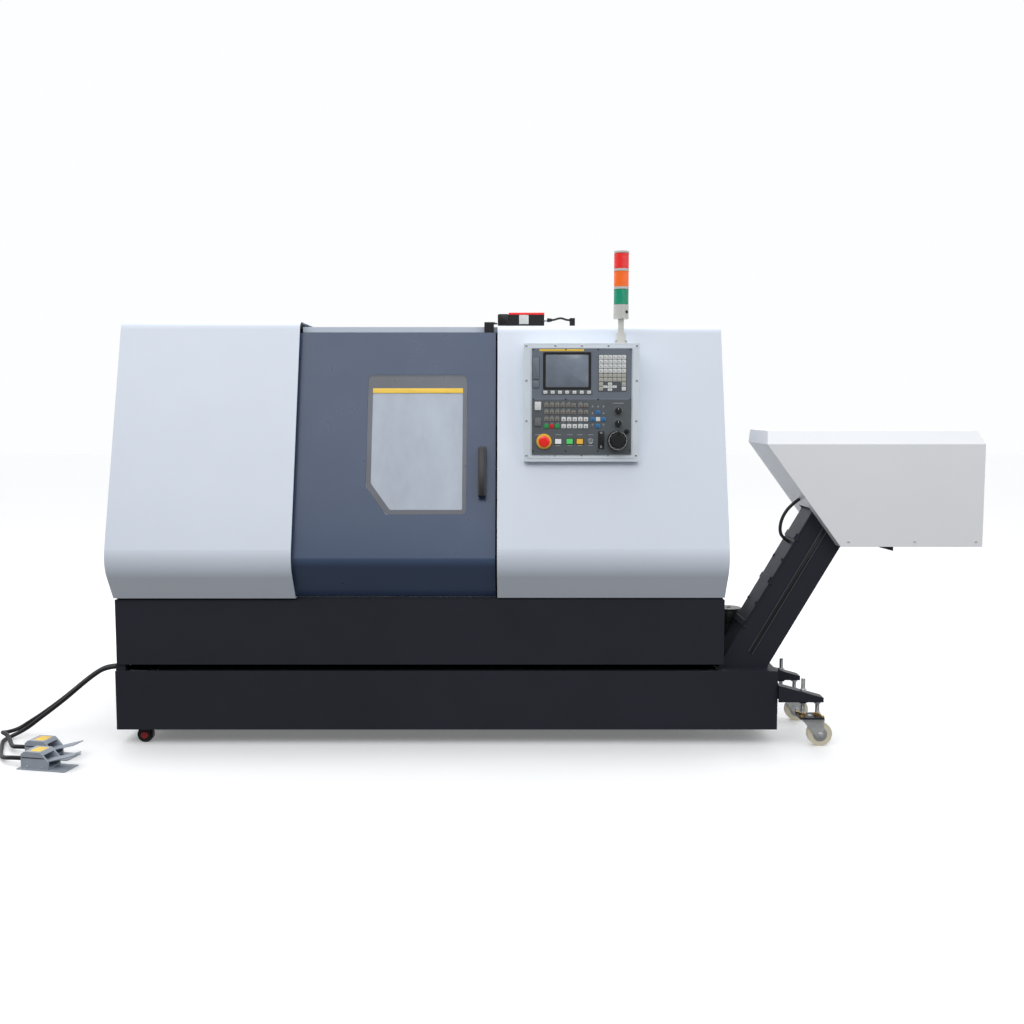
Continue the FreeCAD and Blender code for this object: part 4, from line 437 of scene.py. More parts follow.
def finish_mesh(name, bm, look, body="root", angle=35):
    mesh = bpy.data.meshes.new(name)
    bmesh.ops.recalc_face_normals(bm, faces=bm.faces)
    bm.to_mesh(mesh)
    bm.free()
    piece = link(bpy.data.objects.new(name, mesh))
    mesh.materials.append(M[look])
    mesh.shade_smooth()
    mesh.set_sharp_from_angle(angle=math.radians(angle))
    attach(piece, body)
    return piece


def build(name, look, make, body="root", angle=35):
    """One piece from a function that fills a bmesh."""
    bm = bmesh.new()
    make(bm)
    return finish_mesh(name, bm, look, body, angle=angle)


def many(name, look, items, body="root"):
    """One piece of many rounded plates: (matrix, width, height, thick, radius, bevel)."""
    return build(name, look, lambda bm: [pad(bm, *item) for item in items], body)


def screw_set(name, look, radius, places):
    return build(name, look, lambda bm: [cap_screw(bm, place, radius) for place in places])


def spun(name, look, places, profile, segments, body="root"):
    """One piece of the same turned shape at each place."""
    return build(name, look, lambda bm: [lathe(bm, m, profile, segments) for m in places], body)


# ---- cords


def cord(name, points, radius, node, **facts):
    curve = bpy.data.curves.new(name, "CURVE")
    curve.dimensions = "3D"
    curve.bevel_depth = radius
    curve.bevel_resolution = 5
    curve.resolution_u = 12
    curve.use_fill_caps = True
    spline = curve.splines.new("NURBS")
    spline.points.add(len(points) - 1)
    for point, place in zip(spline.points, points):
        point.co = (*place, 1)
    spline.order_u = 3
    spline.use_endpoint_u = True
    piece = link(bpy.data.objects.new(name, curve))
    curve.materials.append(M["cord"])
    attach(piece, "root")
    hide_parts(node)
    return piece


LEAD_FRONT = [
    (-1.258, -0.875, 0.327), (-1.304, -0.874, 0.323), (-1.358, -0.866, 0.29), (-1.424, -0.85, 0.238),
    (-1.496, -0.83, 0.178), (-1.568, -0.808, 0.124), (-1.628, -0.79, 0.08), (-1.672, -0.781, 0.046),
    (-1.706, -0.787, 0.026), (-1.733, -0.808, 0.014), (-1.747, -0.84, 0.009), (-1.744, -0.876, 0.0085),
    (-1.726, -0.922, 0.0085), (-1.704, -0.976, 0.0085), (-1.682, -1.032, 0.0085), (-1.654, -1.082, 0.01),
    (-1.622, -1.124, 0.019), (-1.5797, -1.154, 0.029), (-1.5288, -1.1648, 0.03),
]
LEAD_REAR = [
    (-1.258, -0.85, 0.327), (-1.304, -0.849, 0.325), (-1.36, -0.84, 0.295), (-1.428, -0.82, 0.243),
    (-1.502, -0.794, 0.184), (-1.576, -0.766, 0.13), (-1.642, -0.742, 0.084), (-1.696, -0.728, 0.05),
    (-1.73, -0.734, 0.028), (-1.755, -0.7535, 0.02), (-1.7695, -0.7815, 0.022), (-1.771, -0.8125, 0.03),
    (-1.759, -0.841, 0.038), (-1.736, -0.862, 0.038), (-1.71, -0.889, 0.03), (-1.687, -0.928, 0.02),
    (-1.66, -0.972, 0.018), (-1.6267, -1.008, 0.028), (-1.5758, -1.0188, 0.03),
]
LEAD_CONVEYOR = [
    (1.5827, -0.76, 1.0145), (1.556, -0.76, 0.9949), (1.528, -0.761, 0.966), (1.508, -0.762, 0.928),
    (1.501, -0.762, 0.886), (1.512, -0.761, 0.8525), (1.5414, -0.76, 0.835),
]
LEAD_SWITCH = [
    (0.54, -0.64, 1.764), (0.556, -0.64, 1.7645), (0.573, -0.641, 1.771), (0.59, -0.6415, 1.772),
    (0.606, -0.64, 1.765), (0.622, -0.64, 1.764),
]
cord("lead_front", LEAD_FRONT, 0.0085, "pedal_cable_front", length=1.034, stiffness="limp", lay="loose")
cord("lead_rear", LEAD_REAR, 0.0085, "pedal_cable_rear", length=0.966, stiffness="limp", lay="loose")
cord("lead_conveyor", LEAD_CONVEYOR, 0.0068, "conveyor_cable", length=0.224, stiffness="limp",
     lay="hanging")
cord("lead_switch", LEAD_SWITCH, 0.0045, "switch_cable", length=0.084, stiffness="limp", lay="loose")


# ---- numbers shared with the CAD

TILT = math.radians(17.1)
DISPLAY_X, DISPLAY_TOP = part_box("display_unit")[0].x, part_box("display_unit")[1].z
DISPLAY_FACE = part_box("display_unit")[0].y
PANEL_FACE = -0.916
PANEL_KEY, DISPLAY_KEY, SOFT_KEY = 0.0034, 0.003, 0.0032  # how far the keys stand out
SKIN_Y, SKIN_Z = -1.005, 0.77  # where the leaning front starts
AXLE_Y = {"front": -0.89, "rear": -0.51}
STUD_X = (1.582, 1.642)
LEAF_FACE = 0.813


def slope(x, z, depth):
    """A frame on the leaning front, x across and z up, that far in from the outer skin."""
    y = SKIN_Y + (z - SKIN_Z) * math.tan(TILT) + depth / math.cos(TILT)
    return frame_at((x, y, z), (1, 0, 0), (0, math.sin(TILT), math.cos(TILT)))


def on_display(u, v):
    """A place on the display unit, in mm from its top left corner."""
    return front_at(DISPLAY_X + u * MM, DISPLAY_FACE, DISPLAY_TOP - v * MM)


def on_panel(u, v):
    """A place on the operator panel, in mm from the console's top left corner."""
    return front_at(DISPLAY_X + u * MM, PANEL_FACE, DISPLAY_TOP - v * MM)


def plates(place, size, thick, spots, radius=0.0018, bevel=0.0008):
    width, height = size
    return [(place(u, v), width, height, thick, radius, bevel) for u, v in spots]


# ---- console: display unit


def display():
    screen = [(lift(on_display(141, 89.5), 0.0002), 0.172, 0.129, 0.0012, 0.003, 0.0004)]
    many("screen_pane", "screen", screen)

    def bezel(bm):
        frame_m = on_display(141, 89.5)
        rings = []
        for inset, level in ((0.009, 0), (0.0085, 0.003), (0.006, 0.004), (0, 0.0032), (-0.0015, 0)):
            rings.append([frame_m @ Vector((x, y, level))
                          for x, y in rounded(0.19 - 2 * inset, 0.147 - 2 * inset, 0.006)])
        loops(bm, rings, False, False)

    build("screen_frame", "black", bezel)
    many("screen_band", "yellow", [(on_display(119, 7.5), 0.178, 0.008, 0.0005, 0.0008, 0.0002)])
    soft = [(54 + 29.2 * i, 175) for i in range(7)]
    many("soft_keys", "key_white", plates(on_display, (0.0155, 0.0125), SOFT_KEY, soft[1:6]))
    many("page_keys", "key_white", plates(on_display, (0.0155, 0.0125), SOFT_KEY, [soft[0], soft[6]]))
    lids = [(on_display(15.5, 79.5), 0.027, 0.087, 0.0028, 0.002, 0.0012),
            (on_display(15.5, 143), 0.027, 0.03, 0.0028, 0.002, 0.0012)]
    many("card_lids", "unit", lids)
    gaps = [(m, w + 0.0024, h + 0.0024, 0.0008, 0.003, 0.0002) for m, w, h, *_ in lids]
    many("card_gaps", "black", gaps)
    white = [(277 + 18.3 * c, 35.5 + 18.2 * r) for r in range(4) for c in range(6)]
    beige = [(277 + 18.3 * c, 108.5 + 16.6 * r) for r in range(2) for c in range(6)]
    many("letter_keys", "key_white", plates(on_display, (0.0168, 0.0166), DISPLAY_KEY, white))
    many("edit_keys", "key_beige", plates(on_display, (0.0168, 0.015), DISPLAY_KEY, beige))
    arrows = [(313, 141.5), (313, 165), (295, 153.3), (331.5, 153.3), (313, 153.3)]
    side = [(277, 143), (277, 161), (368.5, 143)]
    many("arrow_keys", "key_white", plates(on_display, (0.0172, 0.0104), DISPLAY_KEY, arrows))
    many("reset_key", "key_white", plates(on_display, (0.0168, 0.015), DISPLAY_KEY, [(368.5, 161)]))
    many("side_keys", "key_beige", plates(on_display, (0.0168, 0.016), DISPLAY_KEY, side))

    def tops(spots, high, width, height, radius):
        return [(lift(on_display(u, v), high), width, height, 0.0002, radius, 0.00008) for u, v in spots]

    many("display_key_marks", "mark",
         tops([(u - 2, v) for u, v in white], DISPLAY_KEY, 0.0055, 0.0058, 0.0022)
         + tops([(u + 4.6, v + 4) for u, v in white], DISPLAY_KEY, 0.0028, 0.0026, 0.001)
         + tops(beige + side, DISPLAY_KEY, 0.01, 0.0022, 0.0008)
         + tops(arrows, DISPLAY_KEY, 0.006, 0.003, 0.0014) + tops(soft, SOFT_KEY, 0.004, 0.0024, 0.001))
    many("key_field", "panel", [(on_display(322.7, 98.5), 0.116, 0.15, 0.0006, 0.004, 0.0002),
                                (on_display(141, 175), 0.206, 0.021, 0.0006, 0.004, 0.0002)])
    screw_set("display_screws", "black", 0.003, [on_display(u, 4.5) for u in (5, 136, 266, 396)])


display()


# ---- console: operator panel


def legend_strip(bm, u0, u1, v, step):
    """Short bare marks above a row of keys, where the real panel names them."""
    u = u0
    while u <= u1:
        pad(bm, on_panel(u, v), 0.0105, 0.0018, 0.0003, 0.0006, 0.0001)
        u += step


def panel_keys(name, look, spots):
    many(name, look, plates(on_panel, (0.018, 0.0165), PANEL_KEY, spots))


def panel():
    rows_left = [58 + 21.8 * i for i in range(6)]
    rows_right = [195, 217]
    brown = [(u, v) for v in (227, 255) for u in rows_left + rows_right]
    brown += [(u, 283) for u in rows_left[:3]]
    light = [(u, v) for v in (283, 311) for u in (127.7, 150, 172.5, 195, 217)]
    panel_keys("mode_keys", "key_brown", brown)
    panel_keys("function_keys", "key_white", light)
    panel_keys("start_key", "key_green", [(rows_left[0], 311), (rows_left[2], 311)])
    panel_keys("stop_key", "key_red", [(rows_left[1], 311)])
    blue = [(244.5, 283), (288, 283), (266, 256), (266, 310)]
    panel_keys("axis_keys", "key_blue", blue)
    panel_keys("rapid_key", "key_white", [(266, 283)])
    many("rocker_keys", "key_white", [(on_panel(24, 230), 0.026, 0.034, 0.006, 0.003, 0.0016)])
    many("lock_key", "key_grey", [(on_panel(24, 294), 0.026, 0.034, 0.006, 0.003, 0.0016)])

    def marks(bm):
        for v in (215, 243, 271, 299):
            legend_strip(bm, rows_left[0], rows_left[-1], v, 22.8)
            legend_strip(bm, rows_right[0], rows_right[1], v, 24)
        for u in (24, 106, 153, 193, 237):
            pad(bm, on_panel(u, 345), 0.022, 0.0018, 0.0003, 0.0006, 0.0001)
        for u, v in ((244, 233), (266, 233), (288, 233), (244, 260), (288, 260), (244, 306), (288, 306)):
            pad(bm, on_panel(u, v), 0.007, 0.0036, 0.0003, 0.0014, 0.0001)
            pad(bm, on_panel(u, v - 5), 0.0026, 0.0022, 0.0003, 0.001, 0.0001)
        pad(bm, on_panel(347, 219), 0.044, 0.002, 0.0003, 0.0006, 0.0001)
        for u in (106, 153, 193, 237):
            pad(bm, on_panel(u, 389), 0.02, 0.0022, 0.0003, 0.0006, 0.0001)

    build("panel_marks", "mark", marks)

    def key_marks(bm):
        for u, v in brown + light + blue:
            m = lift(on_panel(u, v), PANEL_KEY)
            pad(bm, m, 0.0072, 0.0024, 0.0002, 0.0008, 0.00008)
            pad(bm, m @ move((0, -0.0044, 0)), 0.004, 0.0018, 0.0002, 0.0006, 0.00008)

    build("panel_key_marks", "mark_dark", key_marks)

    many("key_lamps", "lamp_green", [
        (lift(on_panel(u + 5.6, v - 5), PANEL_KEY), 0.0022, 0.0022, 0.0005, 0.001, 0.0002)
        for u in rows_left + rows_right for v in (227, 255)])

    def dial(bm, u, v, inner, outer, start, stop, count, wide=0.001):
        centre = on_panel(u, v)
        for i in range(count):
            angle = math.radians(start + (stop - start) * i / (count - 1))
            spin = centre @ turn(-angle, "Z")
            long = outer if i % 5 == 0 else inner + (outer - inner) * 0.6
            pad(bm, spin @ move((0, (inner + long) / 2, 0)), wide, long - inner, 0.0003, 0.0003,
                0.0001)

    def dials(bm):
        dial(bm, 347, 249, 0.0165, 0.0205, -130, 150, 15)
        dial(bm, 347, 300, 0.0165, 0.0205, -130, 150, 15)

    build("dial_marks", "mark", dials)

    many("button_collars", "black", [
        (on_panel(u, 372), 0.03, 0.0255, 0.0018, 0.003, 0.0008) for u in (106, 153, 193)])

    def keyswitch(bm):
        m = on_panel(237, 372)
        lathe(bm, m, [(0.0125, 0), (0.0125, 0.003), (0.0112, 0.0045), (0.0075, 0.005), (0.0072, 0.0038),
                      (0.0004, 0.0036)], 36)
        pad(bm, lift(m, 0.0036), 0.0018, 0.0085, 0.0006, 0.0006, 0.0001)

    build("key_switch", "ground", keyswitch)

    many("port_cover", "black", [(on_panel(279, 366), 0.024, 0.07, 0.004, 0.002, 0.0012)])

    spun("port_screws", "ground", [lift(on_panel(279, v), 0.004) for v in (338, 394)], [
        (0.005, 0), (0.005, 0.005), (0.0044, 0.0058), (0.001, 0.0056)], 20)

    spots = [(u, v) for u in (5, 136, 266, 396) for v in (202.5, 410)]
    screw_set("panel_screws", "black", 0.003, [on_panel(u, v) for u, v in spots])
    edge = [(u, v) for u in (-22, 93, 200, 307, 421) for v in (-10, 429)]
    edge += [(u, v) for v in (128, 290) for u in (-22, 421)]
    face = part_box("control_box")[0].y
    screw_set("bezel_screws", "ground", 0.0042, [
        front_at(DISPLAY_X + u * MM, face, DISPLAY_TOP - v * MM) for u, v in edge])


panel()


def centre_of(node):
    lo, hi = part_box(node)
    return (Vector(lo) + Vector(hi)) / 2


def stop_button():
    centre = centre_of("estop_head")
    place = front_at(centre.x, PANEL_FACE, centre.z)
    spun("stop_collar", "yellow", [place], [
        (0.0305, 0), (0.0305, 0.0043), (0.0296, 0.0053), (0.019, 0.0053), (0.0188, 0.0042)], 48)
    high = PANEL_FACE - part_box("estop_head")[0].y
    # the red stop head glows: painted glow, it holds no lamp
    head = spun("stop_head", "red", [place], [
        (0.01, 0.0105), (0.01, 0.0118), (0.0205, 0.0121), (0.0222, 0.0143), (0.0224, 0.017),
        (0.0216, 0.02), (0.0175, high - 0.0012), (0.01, high - 0.0002), (TIP, high)], 48, "estop")
    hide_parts("estop_head")


def rotary(node, name, body):
    centre = centre_of(node)
    place = front_at(centre.x, PANEL_FACE - 0.0003, centre.z)
    high = PANEL_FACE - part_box(node)[0].y

    def make(bm):
        ring, teeth = [], 24
        for i in range(teeth * 2):
            angle = math.pi * i / teeth
            radius = 0.013 if i % 2 else 0.0124
            ring.append((radius * math.cos(angle), radius * math.sin(angle)))
        rings = [[place @ Vector((x, y, 0.0004)) for x, y in ring]]
        rings.append([place @ Vector((x, y, high - 0.004)) for x, y in ring])
        rings.append([place @ Vector((x * 0.94, y * 0.94, high - 0.0025)) for x, y in ring])
        rings.append([place @ Vector((x * 0.9, y * 0.9, high - 0.003)) for x, y in ring])
        loops(bm, rings)
        pad(bm, lift(place, high - 0.0034), 0.0062, 0.0225, 0.0033, 0.0026, 0.0008)

    knob = build(name, "black", make, body)
    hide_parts(node)
    # the white line glows: painted glow, it holds no lamp
    many(name + "_line", "glow_white", [(place @ move((0, 0.007, high - 0.0001)), 0.0014, 0.0072,
                                         0.0002, 0.0005, 0.0001)], body)


stop_button()
rotary("feed_knob", "feed_dial", "feed_selector")
rotary("speed_knob", "speed_dial", "speed_selector")


def handwheel():
    centre = centre_of("handwheel")
    place = front_at(centre.x, PANEL_FACE, centre.z)
    lo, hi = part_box("handwheel")
    high, rim = PANEL_FACE - lo.y, (hi.x - lo.x) / 2

    def dish(bm):
        lathe(bm, place, [(rim, high - 0.003), (rim - 0.0006, high + 0.0002), (rim - 0.0095, high + 0.0004),
                          (rim - 0.011, high - 0.0004), (0.0282, high - 0.0004), (0.0275, high + 0.0052),
                          (0.0262, high + 0.0064), (0.006, high + 0.0066), (TIP, high + 0.0066)], 72)
        lathe(bm, place @ move((0.0015, 0.0318, high)), [
            (0.0062, -0.0002), (0.0062, 0.008), (0.0068, 0.01), (0.006, 0.015), (TIP, 0.0158)], 28)

    build("wheel_dish", "black", dish, "pulse_wheel")

    def ticks(bm):
        for i in range(60):
            spin = place @ turn(2 * math.pi * i / 60, "Z")
            tall = 0.0058 if i % 5 == 0 else 0.003
            pad(bm, spin @ move((0, rim - 0.0022 - tall / 2, high + 0.0003)), 0.001, tall, 0.0003,
                0.0003, 0.00008)

    # the white ticks glow: painted glow, they hold no lamp
    build("wheel_ticks", "glow_white", ticks, "pulse_wheel")
    switch = front_at(centre.x + 0.0385, PANEL_FACE, centre.z + 0.036)
    build("axis_selector", "black", lambda bm: [
        lathe(bm, switch, [(0.0098, 0), (0.0098, 0.006), (0.0088, 0.0075), (TIP, 0.0078)], 32),
        pad(bm, lift(switch, 0.0074), 0.0044, 0.0165, 0.005, 0.0018, 0.0006)])


handwheel()


# ---- door


def ring_plate(bm, outer, inner, level0, level1, at):
    """A flat frame between two outlines that have as many points, each placed by at(point, level)."""
    rings = [[at(p, level0) for p in outer], [at(p, level1) for p in outer],
             [at(p, level1) for p in inner], [at(p, level0) for p in inner]]
    loops(bm, rings, False, False)


def rounded_path(points, radius, steps=4):
    """A closed outline with its corners rounded, point counts equal for equal inputs."""
    made = []
    count = len(points)
    for i in range(count):
        before, here, after = (Vector(points[(i + k) % count]) for k in (-1, 0, 1))
        a, b = (before - here).normalized(), (after - here).normalized()
        reach = min(radius, (before - here).length * 0.45, (after - here).length * 0.45)
        start, end = here + a * reach, here + b * reach
        for step in range(steps + 1):
            t = step / steps
            made.append(start * (1 - t) ** 2 + here * 2 * t * (1 - t) + end * t ** 2)
    return made


def door():
    def at(point, depth):
        return slope(point.x, point.y, depth).translation

    outline = rounded_path([(-0.212, 1.526), (0.187, 1.526), (0.187, 0.97), (-0.13, 0.97), (-0.212, 1.078)],
                           0.02)
    sight = rounded_path([(-0.198, 1.47), (0.175, 1.47), (0.175, 0.982), (-0.118, 0.982), (-0.198, 1.088)],
                         0.006)
    build("window_border", "border", lambda bm: ring_plate(bm, outline, sight, 0.0249, 0.0238, at), "door")
    opening = rounded_path([(-0.2175, 1.5295), (0.1915, 1.5295), (0.1915, 0.9635), (-0.134, 0.9635),
                            (-0.2175, 1.075)], 0.022)
    build("window_seal", "border", lambda bm: ring_plate(bm, opening, outline, 0.0249, 0.0226, at), "door")
    many("window_strip", "yellow", [(slope(-0.0115, 1.4645, 0.0237), 0.373, 0.021, 0.0007, 0.001, 0.0002)],
         "door")
    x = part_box("door_handle")[0].x + 0.015

    spun("handle_bosses", "black", [slope(x, z, 0.022) for z in (1.052, 1.22)], [
        (0.0135, 0), (0.0135, 0.003), (0.012, 0.0045), (0.004, 0.005)], 32, "door")

    def grip(bm):
        rings, section = [], rounded(0.0325, 0.019, 0.009, 5)
        middle, half = 1.136, 0.0965
        for t, scale in ((-1, 0.55), (-0.975, 0.86), (-0.94, 1), (0.94, 1), (0.975, 0.86), (1, 0.55)):
            m = slope(x, middle + half * t, -0.0115)
            rings.append([m @ Vector((a * scale, 0, b * scale)) for a, b in section])
        loops(bm, rings)

    build("handle_grip", "black", grip, "door")


door()


# ---- signal tower


def fluted(bm, centre, base, tall, radius, deep, count):
    rings = []
    for level, grow in ((0, -0.003), (0.0012, 0), (tall - 0.0012, 0), (tall, -0.003)):
        ring = []
        for i in range(count * 4):
            angle = 2 * math.pi * i / (count * 4)
            r = radius + grow - deep * (0.5 - 0.5 * math.cos(angle * count))
            ring.append(Vector((centre.x + r * math.cos(angle), centre.y + r * math.sin(angle),
                                base + level)))
        rings.append(ring)
    loops(bm, rings)


def tower():
    centre = centre_of("tower_lenses")
    lo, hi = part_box("tower_lenses")
    tall = 0.062
    pitch = (hi.z - lo.z - tall) / 2
    for number, look in enumerate(("green", "amber", "red")):
        base = lo.z + number * pitch
        lens = build(look + "_lens", look, lambda bm: fluted(bm, centre, base, tall, 0.0299, 0.0009, 36),
                     angle=60)
        if number == 0:
            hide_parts("tower_lenses")
    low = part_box("signal_tower")[0].z
    buzzer = front_at(centre.x + 0.02, centre.y - 0.0235, lo.z - 0.03)
    buzzer = buzzer @ turn(math.radians(40), "Y")
    spun("tower_port", "black", [buzzer], [
        (0.0062, 0), (0.0062, 0.0022), (0.0045, 0.0028), (0.0042, 0.0012), (TIP, 0.001)], 24)

    screw_set("tower_screws", "black", 0.0034, [
        move((centre.x + x, centre.y + y, low + 0.012))
        for x in (-0.02, 0.02) for y in (-0.014, 0.014)])


tower()


# ---- console frame


def console_frame():
    lo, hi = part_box("control_box")
    cx, cz = (lo.x + hi.x) / 2, (lo.z + hi.z) / 2
    wide, high = hi.x - lo.x, hi.z - lo.z

    def at(point, level):
        return Vector((cx + point[0], lo.y - level, cz + point[1]))

    def frame_lip(bm):
        outer, inner = rounded(wide - 0.03, high - 0.026, 0.004), rounded(wide - 0.052, high - 0.046, 0.003)
        ring_plate(bm, outer, inner, -0.0002, 0.0016, at)

    build("bezel_lip", "bezel", frame_lip)
    bars = [(front_at(0.658, -0.915, 1.4285), 0.399, 0.0068, 0.0008, 0.001, 0.0004)]
    many("panel_seam", "unit", bars)


console_frame()


# ---- roof switch


def roof_switch():
    lo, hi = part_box("door_switch")
    top = hi.z
    x0, x1 = lo.x + 0.046, lo.x + 0.196
    y = (lo.y + hi.y) / 2
    lid = frame_at(((x0 + x1) / 2, y, top), (1, 0, 0), (0, 1, 0))
    # the red lid glows: painted glow, it holds no lamp
    many("switch_lid", "red", [(lid, x1 - x0 + 0.001, 0.0385, 0.0022, 0.002, 0.0008)])
    front = front_at((x0 + x1) / 2, y - 0.0191, top - 0.0035)
    many("switch_lid_edge", "red", [(front, x1 - x0 + 0.001, 0.007, 0.001, 0.001, 0.0003)])
    plate = front_at(lo.x + 0.11, lo.y, top - 0.027)
    many("switch_plate", "key_white", [(plate, 0.04, 0.038, 0.0005, 0.001, 0.0002)])
    nose = front_at(lo.x + 0.024, lo.y, top - 0.024)
    many("switch_nose", "black", [(nose, 0.04, 0.04, 0.003, 0.003, 0.001)])
    plug = frame_at((lo.x + 0.196, y, 1.764), (0, 1, 0), (0, 0, 1))
    spun("switch_plug", "ground", [plug], [
        (0.009, 0), (0.009, 0.008), (0.0082, 0.0088), (0.0082, 0.012), (0.0078, 0.0122)], 32)
    spun("switch_boot", "gasket", [plug], [
        (0.0084, 0.0122), (0.0086, 0.018), (0.0076, 0.027), (0.006, 0.033), (0.0047, 0.035)], 32)

    spun("actuator_bolts", "zinc", [move((x, -0.646, 1.752)) for x in (0.279, 0.301)], [
        (0.0052, -0.0003), (0.0052, 0.004), (0.0046, 0.005), (TIP, 0.005)], 6, "door")


roof_switch()


# ---- chip conveyor


CLIMB = math.radians(60)
FOOT_X, FOOT_Z = 1.3195, 0.095


def climb(along, across, y):
    """A frame on the conveyor's near side: X runs up the incline and Y across it."""
    cos, sin = math.cos(CLIMB), math.sin(CLIMB)
    place = (FOOT_X + along * cos - across * sin, y, FOOT_Z + along * sin + across * cos)
    return frame_at(place, (cos, 0, sin), (-sin, 0, cos))


def conveyor():
    side = -0.827
    start, end = 0.268, 0.905
    middle = (start + end) / 2
    long = end - start
    many("conveyor_ribs", "ridge", [
        (climb(middle, across, side), long, 0.0036, 0.005, 0.0012, 0.0006) for across in (0.083, 0.103)])
    many("conveyor_groove", "black", [(climb(middle, 0.093, side), long, 0.0155, 0.0006, 0.0008, 0.0002)])
    many("conveyor_flange", "charcoal", [(climb(0.64, 0.1745, side), 0.56, 0.006, 0.0035, 0.0012, 0.0008)])

    def bolts(bm):
        for along in (0.352, 0.562, 0.772):
            hex_bolt(bm, climb(along, 0.171, side - 0.003), 0.0052)
        for y in (-0.815, -0.67):
            for along in (0.462, 0.672):
                hex_bolt(bm, climb(along, 0.178, y) @ turn(math.radians(-90), "X"), 0.0062)

    build("conveyor_bolts", "gasket", bolts)
    gap = frame_at((1.585, -0.772, 1.0165), (0, 1, 0), (-0.5925, 0, 0.8056))
    many("cable_entry", "gasket", [(gap, 0.085, 0.062, 0.0022, 0.01, 0.001)])

    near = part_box("conveyor_hood")[0].y
    screw_set("hood_screws", "zinc", 0.0042, [front_at(x, near, 0.85) for x in (1.75, 2.02, 2.27)])


conveyor()


# ---- coolant pump


def pump():
    lo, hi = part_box("coolant_pump")
    x, y = (lo.x + hi.x) / 2, (lo.y + hi.y) / 2
    top = hi.z

    spun("pump_cowl", "black", [move((x, y, 0))], [
        (0.0562, top - 0.062), (0.0575, top - 0.058), (0.0575, top - 0.018), (0.054, top - 0.008),
        (0.042, top - 0.001), (0.012, top), (TIP, top)], 48)

    fin = frame_at((0.0545, 0, top - 0.115), (0, 1, 0), (0, 0, 1))
    many("pump_fins", "motor", [
        (move((x, y, 0)) @ turn(2 * math.pi * i / 28, "Z") @ fin, 0.0024, 0.095, 0.0075, 0.0008, 0.0006)
        for i in range(28)])

    def bolts(bm):
        for i in range(4):
            angle = math.radians(45 + 90 * i)
            m = move((x + 0.065 * math.cos(angle), y + 0.065 * math.sin(angle), 0.327))
            hex_bolt(bm, m, 0.0065)

    build("pump_bolts", "zinc", bolts)


pump()


# ---- casters and outriggers


def casters():
    for name, y in AXLE_Y.items():
        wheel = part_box("caster_wheel_" + name)
        cx, cz = (wheel[0].x + wheel[1].x) / 2, (wheel[0].z + wheel[1].z) / 2

        def hub(bm, side):
            m = frame_at((cx, y + side * 0.0158, cz), (-side, 0, 0), (0, 0, 1))
            lathe(bm, m, [(0.03, -0.001), (0.03, 0.0016), (0.0282, 0.0026), (0.015, 0.0026),
                          (0.014, 0.0012), (0.009, 0.001)], 48)

        build(f"hubs_{name}", "label", lambda bm: [hub(bm, side) for side in (-1, 1)], "wheel_" + name)
        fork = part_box("caster_fork_" + name)

        def nuts(bm):
            for side in (-1, 1):
                edge = fork[0].y if side < 0 else fork[1].y
                m = frame_at((cx, edge, cz), (-side, 0, 0), (0, 0, 1))
                lathe(bm, m, [(0.0115, -0.0002), (0.0115, 0.0012), (0.011, 0.0014)], 32)
                lathe(bm, m, [(0.0088, 0.001), (0.0088, 0.0066), (0.0076, 0.0076), (TIP, 0.0076)], 6)

        build(f"axle_nuts_{name}", "zinc", nuts, "fork_" + name)


casters()


def outriggers():
    def stud(bm, x, y, low, high, radius=0.0084):
        profile, steps = [], int((high - low) / 0.0025)
        for i in range(steps):
            z = low + (high - low) * i / steps
            profile += [(radius - 0.0006, z), (radius, z + 0.0012)]
        profile += [(radius - 0.0016, high), (TIP, high)]
        lathe(bm, move((x, y, 0)), profile, 20)

    def nut(bm, x, y, z, size, tall):
        lathe(bm, move((x, y, z)), [
            (size, 0), (size, tall - 0.0012), (size - 0.0016, tall), (0.0004, tall)], 6)

    def studs(bm):
        for y in AXLE_Y.values():
            stud(bm, STUD_X[0], y, 0.226, 0.2802)
            nut(bm, STUD_X[0], y, 0.2262, 0.015, 0.011)
            for x in STUD_X:
                stud(bm, x, y, 0.1262, 0.1868)
                nut(bm, x, y, 0.176, 0.0145, 0.0105)

    def nuts(bm):
        for y in AXLE_Y.values():
            for x in (1.569, 1.655):
                for side in (-0.034, 0.034):
                    nut(bm, x, y + side, 0.1258, 0.0085, 0.0072)
            for x in STUD_X:
                nut(bm, x, y, 0.1258, 0.0145, 0.0105)

    build("outrigger_studs", "zinc", studs)
    build("outrigger_nuts", "brass", nuts)


outriggers()


# ---- foot switches


